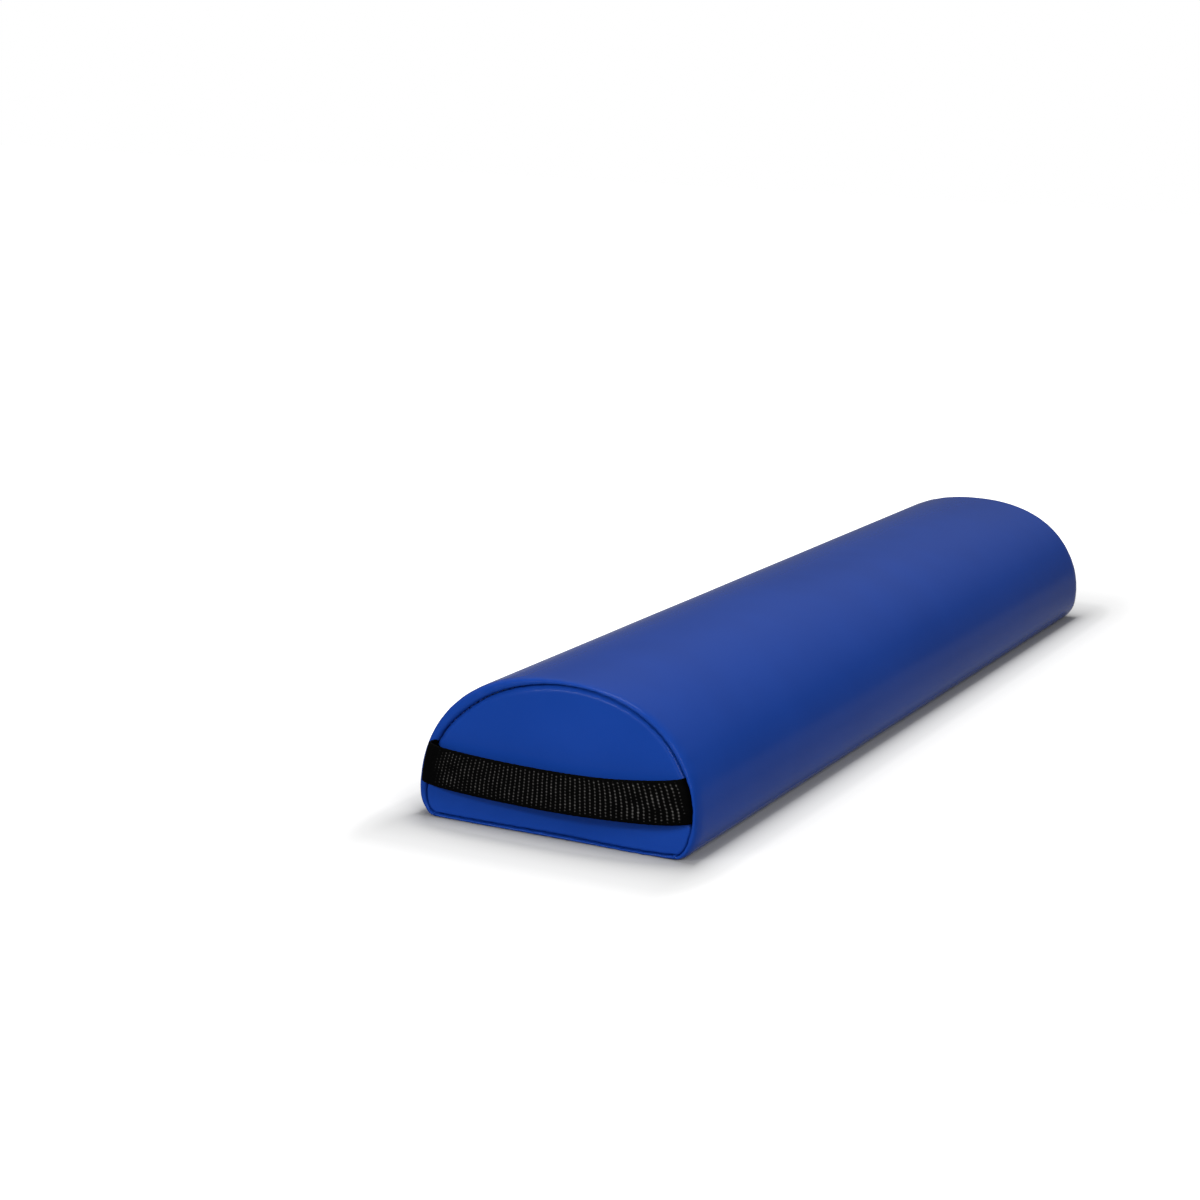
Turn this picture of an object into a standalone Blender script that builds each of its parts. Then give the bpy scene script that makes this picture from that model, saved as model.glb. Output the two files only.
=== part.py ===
"""Half round bolster: a D-shaped foam core in a sewn cover with a carrying strap.

The bolster lies along Y with its flat base on z = 0 and the strap at its front
end, at -Y. The middle of the base is the origin. All sizes are in metres.

The cover is four panels: one that goes over the arch, a flat base and two ends.
Every panel is a sheet whose outer face is laid out first and then thickened
inwards. The sheets turn inwards at their seams, as sewn panels do. A zipper
lies sunk in the long seam at the left edge of the base.
"""
import math
from bisect import bisect_right

import bmesh
import bpy
from mathutils import Matrix, Vector

# Size of the whole bolster.
LENGTH = 0.6604
WIDTH = 0.1524
HEIGHT = 0.0780

# Shape of its section.
WIDEST_HEIGHT = 0.0155
CROWN_FULLNESS = 2.25
FLANK_TUCK = 0.0106
CORNER_RADIUS = 0.00745
CORNER_SWEEP = 46.0

# Space left between pieces that touch.
CLEARANCE = 0.0003

# Cover, and how it turns in at the seams.
COVER_THICKNESS = 0.0009
RIM_CREST_INSET = 0.0021
RIM_RADIUS = 0.0019
RIM_ROUNDING = 0.0116
END_SEAM_DEPTH = 0.0042
SEAM_ALLOWANCE = 0.0068
PANEL_EDGE_RADIUS = 0.0034
PANEL_EDGE_DEPTH = 0.0012
PANEL_CROWN = 0.0015
FOLD_RADIUS = 0.0016
LONG_SEAM_ALLOWANCE = 0.0050
LONG_SEAM_START = 0.0030
LONG_SEAM_TURN = 0.0100

# Foam core, where it narrows for the seams at its ends.
FOAM_SHOULDER = 0.0044

# Carrying strap.
STRAP_WIDTH = 0.0200
STRAP_THICKNESS = 0.0016
STRAP_CENTRE_HEIGHT = 0.0285
STRAP_BOW = 0.0095
STRAP_RISE = 0.0007
STRAP_BOW_FULLNESS = 2.2
STRAP_BEND_RADIUS = 0.0022

# Zipper. It lies in a frame of its own: across, along and out of the seam.
ZIPPER_TILT = 15.0
ZIPPER_END_DISTANCE = 0.0450
ZIPPER_OPENING_TAPER = 0.0100
ZIPPER_HALF_WINDOW = 0.0050
ZIPPER_FLOOR_CLEARANCE = 0.0005
TAPE_WIDTH = 0.0073
TAPE_THICKNESS = 0.0006
TAPE_OVERRUN = 0.0060
ROW_GAP = 0.0014
COIL_WIDTH = 0.0024
COIL_THICKNESS = 0.0019
STOP_LENGTH = 0.0030
STOP_WALL = 0.0002
SLIDER_RUNNING_GAP = 0.00025
SLIDER_LENGTH = 0.0104
SLIDER_PLATE = 0.0009
SLIDER_SIDE_WALL = 0.0007
SLIDER_TAIL_NARROWING = 0.0004
SLIDER_PARKING_GAP = 0.0006
TAB_END_CLEARANCE = 0.0010
CROWN_INNER_HEIGHT = 0.0015
CROWN_WALL = 0.0007
CROWN_HALF_LENGTH = 0.0036
CROWN_WIDTH = 0.0020
PIVOT_RADIUS = 0.00045
TAB_LENGTH = 0.0240
TAB_WIDTH = 0.0060
TAB_THICKNESS = 0.0009
TAB_ARM = 0.0009
TAB_WINDOW = 0.0055
TAB_HOLE_RADIUS = 0.0011

# Colours, roughness and metallic value of the materials.
VINYL = ("blue_vinyl", (0.013, 0.055, 0.300, 1.0), 0.42, 0.0)
FOAM = ("polyurethane_foam", (0.620, 0.560, 0.420, 1.0), 0.95, 0.0)
WEBBING = ("black_webbing", (0.012, 0.012, 0.012, 1.0), 0.75, 0.0)
TAPE = ("zipper_tape", (0.010, 0.020, 0.070, 1.0), 0.85, 0.0)
COIL = ("zipper_coil", (0.012, 0.022, 0.080, 1.0), 0.45, 0.0)
METAL = ("nickel_plate", (0.560, 0.550, 0.530, 1.0), 0.28, 1.0)

# How finely the section is divided.
FLANK_POINTS = 3
CROWN_POINTS = 13
CORNER_POINTS = 3
BASE_POINTS = 5
CORNER_MARGIN = 0.0010
MIDLINE_HEIGHT = 0.0260
MIDLINE_SETBACK = 0.0200

# Lengths that follow from the sizes above.
HALF_LENGTH = LENGTH / 2
BASE_HALF = WIDTH / 2 - FLANK_TUCK
END_SEAM_INSET = RIM_CREST_INSET + RIM_RADIUS
END_ALLOWANCE_DEPTH = END_SEAM_DEPTH + SEAM_ALLOWANCE
LIPS_START = max(RIM_ROUNDING, END_ALLOWANCE_DEPTH) + LONG_SEAM_START
STOP_SIZE = COIL_THICKNESS + 2 * STOP_WALL
CROWN_HEIGHT = CROWN_INNER_HEIGHT + CROWN_WALL
SLIDER_OUT = -ZIPPER_FLOOR_CLEARANCE - CROWN_HEIGHT
CHAIN_OUT = SLIDER_OUT - SLIDER_PLATE - SLIDER_RUNNING_GAP
TAPE_OUT = CHAIN_OUT - STOP_SIZE - SLIDER_RUNNING_GAP
TAPE_IN = TAPE_OUT - TAPE_THICKNESS
SLIDER_HALF_WIDTH = ROW_GAP / 2 + COIL_WIDTH + SLIDER_RUNNING_GAP + SLIDER_SIDE_WALL
WINDOW_REACH = HALF_LENGTH - ZIPPER_END_DISTANCE - ZIPPER_OPENING_TAPER
SLIDER_MARGIN = SLIDER_LENGTH / 2 + SLIDER_PARKING_GAP
CHAIN_REAR = WINDOW_REACH - STOP_LENGTH - 2 * CLEARANCE
CHAIN_FRONT = -(WINDOW_REACH - TAB_LENGTH - TAB_END_CLEARANCE + SLIDER_MARGIN)
TAPE_REACH = CHAIN_REAR + STOP_LENGTH + TAPE_OVERRUN


def corner_end():
    """Return the end of the corner's arc and its direction there."""
    angle = math.radians(CORNER_SWEEP - 90)
    centre = Vector((BASE_HALF, CORNER_RADIUS))
    end = centre + CORNER_RADIUS * Vector((math.cos(angle), math.sin(angle)))
    return end, Vector((-math.sin(angle), math.cos(angle)))


def half_outline():
    """Return the right half of the section, from the middle of the base to the top."""
    points = [Vector((BASE_HALF * step / 20, 0.0)) for step in range(20)]
    for step in range(20):
        angle = math.radians(-90 + CORNER_SWEEP * step / 20)
        points.append(Vector((BASE_HALF + CORNER_RADIUS * math.cos(angle),
                              CORNER_RADIUS + CORNER_RADIUS * math.sin(angle))))
    start, direction = corner_end()
    widest = Vector((WIDTH / 2, WIDEST_HEIGHT))
    handle = 0.38 * (widest - start).length
    first = start + handle * direction
    second = widest - Vector((0.0, handle))
    for step in range(20):
        share = step / 20
        rest = 1 - share
        points.append(rest ** 3 * start + 3 * rest ** 2 * share * first
                      + 3 * rest * share ** 2 * second + share ** 3 * widest)
    power = 2 / CROWN_FULLNESS
    for step in range(121):
        angle = math.radians(90 * step / 120)
        across = WIDTH / 2 * max(math.cos(angle), 0.0) ** power
        up = (HEIGHT - WIDEST_HEIGHT) * math.sin(angle) ** power
        points.append(Vector((across, WIDEST_HEIGHT + up)))
    points[-1].x = 0.0
    return points


class Outline:
    """The closed section, read by the distance round it from the middle of the base."""

    def __init__(self):
        right = half_outline()
        left = [Vector((-point.x, point.y)) for point in reversed(right[1:-1])]
        self.points = right + left
        self.closed = self.points + [self.points[0]]
        self.marks = [0.0]
        for here, there in zip(self.closed, self.closed[1:]):
            self.marks.append(self.marks[-1] + (there - here).length)
        self.total = self.marks[-1]
        self.normals = self.inward_normals()

    def inward_normals(self):
        """Return the inward direction at each point."""
        count = len(self.points)
        normals = []
        for index in range(count):
            along = self.points[(index + 1) % count] - self.points[index - 1]
            normals.append(Vector((-along.y, along.x)).normalized())
        return normals + [normals[0]]

    def read(self, distance):
        """Return the point and the inward direction at a distance round the section."""
        distance %= self.total
        index = min(bisect_right(self.marks, distance), len(self.marks) - 1) - 1
        span = self.marks[index + 1] - self.marks[index]
        share = (distance - self.marks[index]) / span
        point = self.closed[index].lerp(self.closed[index + 1], share)
        normal = self.normals[index].lerp(self.normals[index + 1], share)
        return point, normal.normalized()

    def inset_point(self, distance, inset, extra=0.0):
        """Return the point at an inset, moved on by extra towards the middle of the section.

        The extra move heads for the nearest point of a level line inside the
        section, so that the rings inside the seam don't fold over at the corners.
        """
        point, normal = self.read(distance)
        point = point + inset * normal
        line_half = BASE_HALF - MIDLINE_SETBACK
        target = Vector((min(max(point.x, -line_half), line_half), MIDLINE_HEIGHT))
        return point + extra * (target - point).normalized()

    def spread(self, start, end, count):
        """Return distances from start to end, closer together where the section turns."""
        steps = 240
        weights = [0.0]
        previous = self.read(start)[1]
        for step in range(1, steps + 1):
            normal = self.read(start + (end - start) * step / steps)[1]
            turn = previous.angle(normal, 0.0)
            weights.append(weights[-1] + (end - start) / steps + 0.030 * turn)
            previous = normal
        result = []
        for index in range(count):
            target = weights[-1] * index / (count - 1)
            place = min(max(bisect_right(weights, target) - 1, 0), steps - 1)
            share = (target - weights[place]) / (weights[place + 1] - weights[place])
            result.append(start + (end - start) * (place + share) / steps)
        return result

    def widest_distance(self):
        """Return the distance round to the widest point on the right."""
        index = max(range(len(self.points)), key=lambda place: self.points[place].x)
        return self.marks[index]

    def half_width(self, height, inset, distances):
        """Return how far the inset section, divided at the distances, reaches to the right at a height."""
        widest = 0.0
        moved = [self.inset_point(distance, inset) for distance in distances]
        for here, there in zip(moved, moved[1:]):
            low, high = sorted((here.y, there.y))
            if low <= height <= high and high > low:
                share = (height - here.y) / (there.y - here.y)
                widest = max(widest, here.x + share * (there.x - here.x))
        return widest


def arch_marks():
    """Return the distances at which the arch is divided, with one at each widest point."""
    widest = SECTION.widest_distance()
    flank = SECTION.spread(ARCH_START, widest, FLANK_POINTS)[:-1]
    crown = SECTION.spread(widest, SECTION.total - widest, CROWN_POINTS)
    return flank + crown + [SECTION.total - distance for distance in reversed(flank)]


SECTION = Outline()
RIGHT_SEAM = BASE_HALF
LEFT_SEAM = SECTION.total - BASE_HALF
ARCH_START = RIGHT_SEAM + ZIPPER_HALF_WINDOW + FOLD_RADIUS + CORNER_MARGIN
ARCH_MARKS = arch_marks()
ZIPPER_ORIGIN = Vector((-BASE_HALF, 0.0))
TILT = math.radians(ZIPPER_TILT)
ZIPPER_INWARD = Vector((math.sin(TILT), math.cos(TILT)))


def make_material(recipe):
    """Return a Principled material from its name, colour, roughness and metallic value."""
    name, colour, roughness, metallic = recipe
    material = bpy.data.materials.get(name) or bpy.data.materials.new(name)
    material.use_nodes = True
    shader = material.node_tree.nodes["Principled BSDF"]
    shader.inputs["Base Color"].default_value = colour
    shader.inputs["Roughness"].default_value = roughness
    shader.inputs["Metallic"].default_value = metallic
    material.diffuse_color = colour
    return material


def make_collection(name):
    """Return a new collection in the scene."""
    collection = bpy.data.collections.new(name)
    bpy.context.scene.collection.children.link(collection)
    return collection


def add_object(name, mesh, collection, material=None, smooth=True):
    """Return a new object that holds the mesh."""
    item = bpy.data.objects.new(name, mesh)
    collection.objects.link(item)
    if material:
        mesh.materials.append(make_material(material))
    if smooth:
        mesh.shade_smooth()
        mesh.set_sharp_from_angle(angle=math.radians(35))
    return item


def loft_mesh(name, rings, closed_ring, caps=False):
    """Return a mesh of quads between rings of like count, with capped ends if asked."""
    mesh = bpy.data.meshes.new(name)
    count = len(rings[0])
    vertices = [point for ring in rings for point in ring]
    spans = count if closed_ring else count - 1
    faces = []
    for row in range(len(rings) - 1):
        for column in range(spans):
            after = (column + 1) % count
            faces.append((row * count + column, row * count + after,
                          (row + 1) * count + after, (row + 1) * count + column))
    if caps:
        last = (len(rings) - 1) * count
        faces.append(tuple(reversed(range(count))))
        faces.append(tuple(range(last, last + count)))
    mesh.from_pydata(vertices, [], faces)
    work = bmesh.new()
    work.from_mesh(mesh)
    if caps:
        bmesh.ops.recalc_face_normals(work, faces=work.faces)
    work.to_mesh(mesh)
    work.free()
    return mesh


def thicken(item, thickness):
    """Give a sheet its thickness behind its outer face."""
    modifier = item.modifiers.new("thickness", "SOLIDIFY")
    modifier.thickness = thickness
    modifier.offset = -1.0
    modifier.use_even_offset = True
    modifier.use_quality_normals = True
    return modifier


def cut(item, cutter):
    """Take the cutter's shape out of an object."""
    modifier = item.modifiers.new("cut", "BOOLEAN")
    modifier.operation = "DIFFERENCE"
    modifier.object = cutter
    modifier.solver = "EXACT"


def join(item, other):
    """Unite an object with another shape."""
    modifier = item.modifiers.new("join", "BOOLEAN")
    modifier.operation = "UNION"
    modifier.object = other
    modifier.solver = "EXACT"


def hide_helper(item):
    """Mark an object as a guide that isn't part of the bolster."""
    item.hide_render = True
    item.display_type = "WIRE"


def in_section(point, y):
    """Return a point of the section at a place along the bolster."""
    return Vector((point.x, y, point.y))


def box_mesh(name, low, high):
    """Return a box between two corners."""
    work = bmesh.new()
    bmesh.ops.create_cube(work, size=1.0)
    size = Vector(high) - Vector(low)
    middle = (Vector(high) + Vector(low)) / 2
    bmesh.ops.scale(work, vec=size, verts=work.verts)
    bmesh.ops.translate(work, vec=middle, verts=work.verts)
    mesh = bpy.data.meshes.new(name)
    work.to_mesh(mesh)
    work.free()
    return mesh


def prism_mesh(name, outline, low, high, axis="Z"):
    """Return a flat outline extruded from low to high along Z or X."""
    rings = []
    for level in (low, high):
        if axis == "Z":
            rings.append([Vector((first, second, level)) for first, second in outline])
        else:
            rings.append([Vector((level, first, second)) for first, second in outline])
    return loft_mesh(name, rings, closed_ring=True, caps=True)


def ease(share):
    """Return a smooth step from 0 to 1."""
    share = min(max(share, 0.0), 1.0)
    return share * share * (3 - 2 * share)


def lips_turned(end_distance):
    """Return how far the long edges are turned in, from 0 to 1, at a distance from an end."""
    return ease((end_distance - LIPS_START) / LONG_SEAM_TURN)


def window_half(end_distance):
    """Return half the opening of the left seam at a distance from an end."""
    closed = CLEARANCE / 2
    share = (end_distance - ZIPPER_END_DISTANCE) / ZIPPER_OPENING_TAPER
    return closed + (ZIPPER_HALF_WINDOW - closed) * ease(share)


def rim_stations():
    """Return (distance from the end, inset) down the rolled rim, from its hidden edge outwards."""
    stations = [(END_ALLOWANCE_DEPTH, END_SEAM_INSET)]
    for degrees in (90, 45, 0, -45):
        angle = math.radians(degrees)
        stations.append((RIM_RADIUS * (1 - math.cos(angle)), RIM_CREST_INSET + RIM_RADIUS * math.sin(angle)))
    stations.append((RIM_ROUNDING, 0.0))
    return stations


def cover_stations():
    """Return (place along Y, inset, distance from the end) from the front to the back."""
    front = [(depth, inset) for depth, inset in rim_stations()]
    front.append((LIPS_START, 0.0))
    front.append((LIPS_START + LONG_SEAM_TURN, 0.0))
    front.append((ZIPPER_END_DISTANCE, 0.0))
    front.append((ZIPPER_END_DISTANCE + ZIPPER_OPENING_TAPER, 0.0))
    stations = [(-HALF_LENGTH + depth, inset, depth) for depth, inset in front]
    stations += [(HALF_LENGTH - depth, inset, depth) for depth, inset in reversed(front)]
    return stations


def edge_points(edge, towards_surface, lip_direction, lip_length, turned):
    """Return four points of a long edge with their inward directions.

    The points run from the surface to the edge. When turned is 0 they lie on the
    section, and when it is 1 they follow a fold and a lip that goes inwards.
    """
    corner, corner_normal = SECTION.read(edge)
    flat = [SECTION.read(edge + towards_surface * FOLD_RADIUS * share) for share in (1.0, 0.6, 0.3, 0.0)]
    fold_start = flat[0][0]
    fold_end = corner + FOLD_RADIUS * lip_direction
    middle = corner + 0.293 * (fold_start - corner) + 0.293 * (fold_end - corner)
    lip_end = corner + max(lip_length, 1.2 * FOLD_RADIUS) * lip_direction
    folded = [fold_start, middle, fold_end, lip_end]
    result = []
    for (on_surface, normal), inner in zip(flat, folded):
        result.append((on_surface.lerp(inner, turned), normal.lerp(corner_normal, turned)))
    return result


def left_lip_length(edge):
    """Return the length of a lip at the left seam, from the cover's face to the zipper tape."""
    corner = SECTION.read(edge)[0]
    return -TAPE_OUT - CLEARANCE - (corner - ZIPPER_ORIGIN).dot(ZIPPER_INWARD)


def cover_sheet(name, ring_at, collection):
    """Return a cover panel lofted through its rings along the bolster."""
    rings = []
    for y, inset, end_distance in cover_stations():
        ring = ring_at(end_distance)[::-1]
        rings.append([in_section(point + inset * normal, y) for point, normal in ring])
    item = add_object(name, loft_mesh(name, rings, closed_ring=False), collection, VINYL)
    thicken(item, COVER_THICKNESS)
    return item


def divide(start, end, count):
    """Return evenly spaced distances between two others, without them."""
    return [start + (end - start) * step / (count + 1) for step in range(1, count + 1)]


def section_marks():
    """Return the distances of a whole ring, in line with the points of the two cover panels."""
    fold = CLEARANCE / 2 + FOLD_RADIUS
    right = RIGHT_SEAM + fold
    left = LEFT_SEAM - fold
    marks = [RIGHT_SEAM - fold, RIGHT_SEAM, right]
    marks += divide(right, ARCH_MARKS[0], CORNER_POINTS) + ARCH_MARKS
    marks += divide(ARCH_MARKS[-1], left, CORNER_POINTS)
    marks += [left, LEFT_SEAM, LEFT_SEAM + fold]
    marks += divide(LEFT_SEAM + fold, SECTION.total + RIGHT_SEAM - fold, BASE_POINTS)
    return marks


def arch_ring(end_distance):
    """Return the arch panel's line, from the right seam over the top to the left seam."""
    turned = lips_turned(end_distance)
    right_edge = RIGHT_SEAM + CLEARANCE / 2
    left_edge = LEFT_SEAM - window_half(end_distance)
    right = edge_points(right_edge, 1, Vector((0.0, 1.0)), LONG_SEAM_ALLOWANCE, turned)
    left = edge_points(left_edge, -1, ZIPPER_INWARD, left_lip_length(left_edge), turned)
    between = divide(right_edge + FOLD_RADIUS, ARCH_MARKS[0], CORNER_POINTS)
    between += ARCH_MARKS
    between += divide(ARCH_MARKS[-1], left_edge - FOLD_RADIUS, CORNER_POINTS)
    return right[::-1] + [SECTION.read(distance) for distance in between] + left


def base_ring(end_distance):
    """Return the base panel's line, from the left seam to the right seam."""
    turned = lips_turned(end_distance)
    left_edge = LEFT_SEAM + window_half(end_distance)
    right_edge = RIGHT_SEAM - CLEARANCE / 2
    left = edge_points(left_edge, 1, ZIPPER_INWARD, left_lip_length(left_edge), turned)
    right = edge_points(right_edge, -1, Vector((0.0, 1.0)), LONG_SEAM_ALLOWANCE, turned)
    start = left_edge + FOLD_RADIUS - SECTION.total
    between = divide(start, right_edge - FOLD_RADIUS, BASE_POINTS)
    return left[::-1] + [SECTION.read(distance) for distance in between] + right


def rolled_edge(hidden_depth, inset, rise_start, radius, face_depth):
    """Return (distance from the end, inset, extra inset) from a hidden edge round to the face."""
    stations = [(hidden_depth, inset, 0.0)]
    for degrees in (0, 30, 60, 90):
        angle = math.radians(degrees)
        depth = rise_start - (rise_start - face_depth) * math.sin(angle)
        stations.append((depth, inset, radius * (1 - math.cos(angle))))
    return stations


def end_rings(stations, crown):
    """Return rings that follow the stations and then close in on the middle of the face.

    Each ring is a list of (point in the section, distance from the end).
    """
    distances = section_marks()
    rings = []
    for depth, inset, extra in stations:
        rings.append([(SECTION.inset_point(distance, inset, extra), depth) for distance in distances])
    rim = [point for point, depth in rings[-1]]
    face_depth = stations[-1][0]
    middle = Vector((0.0, MIDLINE_HEIGHT))
    for share in (0.75, 0.40, 0.10):
        depth = face_depth - crown * (1 - share ** 2)
        rings.append([(middle.lerp(point, share), depth) for point in rim])
    return rings


def end_panel(name, front, collection):
    """Return an end panel: a crowned face, a rounded edge and a turned-in allowance."""
    stations = rolled_edge(END_ALLOWANCE_DEPTH, END_SEAM_INSET + CLEARANCE, END_SEAM_DEPTH,
                           PANEL_EDGE_RADIUS, PANEL_EDGE_DEPTH)
    rings = end_rings(stations, PANEL_CROWN)
    side = -1 if front else 1
    placed = [[in_section(point, side * (HALF_LENGTH - depth)) for point, depth in ring] for ring in rings]
    if front:
        placed = [ring[::-1] for ring in placed]
    mesh = loft_mesh(name, placed, closed_ring=True)
    work = bmesh.new()
    work.from_mesh(mesh)
    work.verts.ensure_lookup_table()
    last = [work.verts[index] for index in range(len(work.verts) - len(placed[-1]), len(work.verts))]
    work.faces.new(last)
    bmesh.ops.recalc_face_normals(work, faces=work.faces)
    outward = sum((face.normal.y * face.calc_area() for face in work.faces), 0.0)
    if outward * side < 0:
        bmesh.ops.reverse_faces(work, faces=work.faces)
    work.to_mesh(mesh)
    work.free()
    item = add_object(name, mesh, collection, VINYL)
    thicken(item, COVER_THICKNESS)
    return item


def foam_core(collection):
    """Return the core, inset all over and narrowed at its ends for the seam allowances."""
    side_inset = COVER_THICKNESS + CLEARANCE
    end_inset = END_SEAM_INSET + CLEARANCE + max(COVER_THICKNESS, STRAP_THICKNESS) + CLEARANCE
    end_start = END_ALLOWANCE_DEPTH + 2 * CLEARANCE
    edge_radius = PANEL_EDGE_RADIUS - COVER_THICKNESS
    face = PANEL_EDGE_DEPTH + COVER_THICKNESS + CLEARANCE
    stations = [(end_start + FOAM_SHOULDER, side_inset, 0.0)]
    stations += rolled_edge(end_start, end_inset, face + edge_radius, edge_radius, face)
    rings = end_rings(stations, PANEL_CROWN)
    front = [[in_section(point, depth - HALF_LENGTH) for point, depth in ring] for ring in rings]
    back = [[in_section(point, HALF_LENGTH - depth) for point, depth in ring] for ring in rings]
    mesh = loft_mesh("foam_core", front[::-1] + back, closed_ring=True, caps=True)
    return add_object("foam_core", mesh, collection, FOAM)


def strap_line(half_width, grow=0.0):
    """Return (across, distance in front of the end) along the middle of the strap's thickness.

    The tail rises straight out of the seam, turns on a small radius and follows
    the bow, which falls off from the middle as a power of the distance across.
    """
    knee = -STRAP_RISE
    bow_slope = math.atan(STRAP_BOW * STRAP_BOW_FULLNESS / half_width)
    turn = math.pi / 2 - bow_slope
    reach = STRAP_BEND_RADIUS * math.tan(turn / 2)
    right = [(half_width, END_ALLOWANCE_DEPTH + grow), (half_width, knee + reach)]
    centre = (half_width - STRAP_BEND_RADIUS, knee + reach)
    for step in range(1, 5):
        angle = turn * step / 4
        right.append((centre[0] + STRAP_BEND_RADIUS * math.cos(angle),
                      centre[1] - STRAP_BEND_RADIUS * math.sin(angle)))
    start = right[-1][0]
    for step in range(1, 10):
        across = start * (1 - step / 10)
        fall = (across / half_width) ** STRAP_BOW_FULLNESS
        right.append((across, knee - STRAP_BOW * (1 - fall)))
    middle = [(0.0, knee - STRAP_BOW)]
    left = [(-across, depth) for across, depth in reversed(right)]
    return right + middle + left


def strap_sheet(name, grow, collection, material):
    """Return the webbing as a sheet through its seam ends, made thicker and wider by grow."""
    half = STRAP_WIDTH / 2 + grow
    inset = END_SEAM_INSET + CLEARANCE + STRAP_THICKNESS / 2
    distances = section_marks()
    rings = []
    for step in range(5):
        height = STRAP_CENTRE_HEIGHT - half + 2 * half * step / 4
        line = strap_line(SECTION.half_width(height, inset, distances), grow)
        rings.append([Vector((across, depth - HALF_LENGTH, height)) for across, depth in line])
    item = add_object(name, loft_mesh(name, rings, closed_ring=False), collection, material)
    sheet = thicken(item, STRAP_THICKNESS + 2 * grow)
    sheet.offset = 0.0
    return item


def zipper_frame():
    """Return the matrix from the zipper's frame to the bolster's."""
    out = Vector((-math.sin(TILT), 0.0, -math.cos(TILT)))
    along = Vector((0.0, 1.0, 0.0))
    across = along.cross(out)
    matrix = Matrix((across, along, out)).transposed().to_4x4()
    matrix.translation = Vector((ZIPPER_ORIGIN.x, 0.0, ZIPPER_ORIGIN.y))
    return matrix


def slider_rest():
    """Return the slider's place along the zipper when it is closed."""
    return CHAIN_REAR - SLIDER_MARGIN


def pivot_height():
    """Return how far out of the seam the pull tab's pivot lies."""
    return SLIDER_OUT + CROWN_INNER_HEIGHT / 2


def tape_and_coil(side, word, frame, collection):
    """Return one tape with its row of coils. Side is 1 for the arch and -1 for the base."""
    inner = ROW_GAP / 2
    across = sorted((side * inner, side * (inner + TAPE_WIDTH)))
    mesh = box_mesh("tape", (across[0], -TAPE_REACH, TAPE_IN), (across[1], TAPE_REACH, TAPE_OUT))
    tape = add_object("zipper_tape_" + word, mesh, collection, TAPE, smooth=False)
    tape.parent = frame
    seat = TAPE_OUT + SLIDER_RUNNING_GAP
    profile = []
    for step in range(9):
        angle = math.pi * step / 8
        profile.append((side * (inner + COIL_WIDTH * (0.5 - 0.5 * math.cos(angle))),
                        seat + 0.35 * COIL_THICKNESS + 0.65 * COIL_THICKNESS * math.sin(angle)))
    profile.append((side * (inner + COIL_WIDTH), seat))
    profile.append((side * inner, seat))
    rings = [[Vector((x, y, z)) for x, z in profile] for y in (CHAIN_FRONT, CHAIN_REAR)]
    coil = add_object("zipper_coil_" + word, loft_mesh("coil", rings, True, caps=True), collection, COIL)
    coil.parent = frame


def stop(name, low, high, frame, collection):
    """Return one metal stop, a small rounded block clamped at the end of the rows."""
    item = add_object(name, box_mesh(name, low, high), collection, METAL, smooth=False)
    bevel = item.modifiers.new("rounding", "BEVEL")
    bevel.width = 0.2 * STOP_SIZE
    bevel.segments = 2
    item.parent = frame
    return item


def stops(frame, collection):
    """Make the two top stops, one on each row, and the bottom stop across both."""
    seat = TAPE_OUT + SLIDER_RUNNING_GAP
    inner = ROW_GAP / 2
    outer = inner + COIL_WIDTH
    start = CHAIN_REAR + CLEARANCE
    end = start + STOP_LENGTH
    front_end = CHAIN_FRONT - CLEARANCE
    front_start = front_end - STOP_LENGTH
    top = seat + STOP_SIZE
    stop("zipper_top_stop_arch_side", (inner, start, seat), (outer, end, top), frame, collection)
    stop("zipper_top_stop_base_side", (-outer, start, seat), (-inner, end, top), frame, collection)
    stop("zipper_bottom_stop", (-outer, front_start, seat), (outer, front_end, top), frame, collection)


def slider_plate_outline():
    """Return the slider's plate, wide at its mouth and narrow at its tail."""
    half = SLIDER_LENGTH / 2
    wide = SLIDER_HALF_WIDTH
    tail = wide - SLIDER_TAIL_NARROWING
    right = [(tail - 0.15 * half, -half), (tail, -0.85 * half), (wide, 0.15 * half),
             (wide, 0.65 * half), (0.72 * wide, half), (0.20 * wide, 0.86 * half)]
    return right + [(-x, y) for x, y in reversed(right)]


def crown_outline():
    """Return the side view of the bridge that holds the pull tab on the slider."""
    base = SLIDER_OUT - 0.1 * SLIDER_PLATE
    top = SLIDER_OUT + CROWN_HEIGHT
    inner_half = CROWN_HALF_LENGTH - 1.3 * CROWN_WALL
    outer = [(-CROWN_HALF_LENGTH, base)]
    inner = [(inner_half, base)]
    for step in range(9):
        angle = math.pi * step / 8
        bulge = math.sin(angle) ** 0.5
        outer.append((-CROWN_HALF_LENGTH * math.cos(angle), SLIDER_OUT + (top - SLIDER_OUT) * bulge))
    for step in range(9):
        angle = math.pi * step / 8
        bulge = math.sin(angle) ** 0.5
        inner.append((inner_half * math.cos(angle), SLIDER_OUT + CROWN_INNER_HEIGHT * bulge))
    outer.append((CROWN_HALF_LENGTH, base))
    inner.append((-inner_half, base))
    return outer + inner


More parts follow.
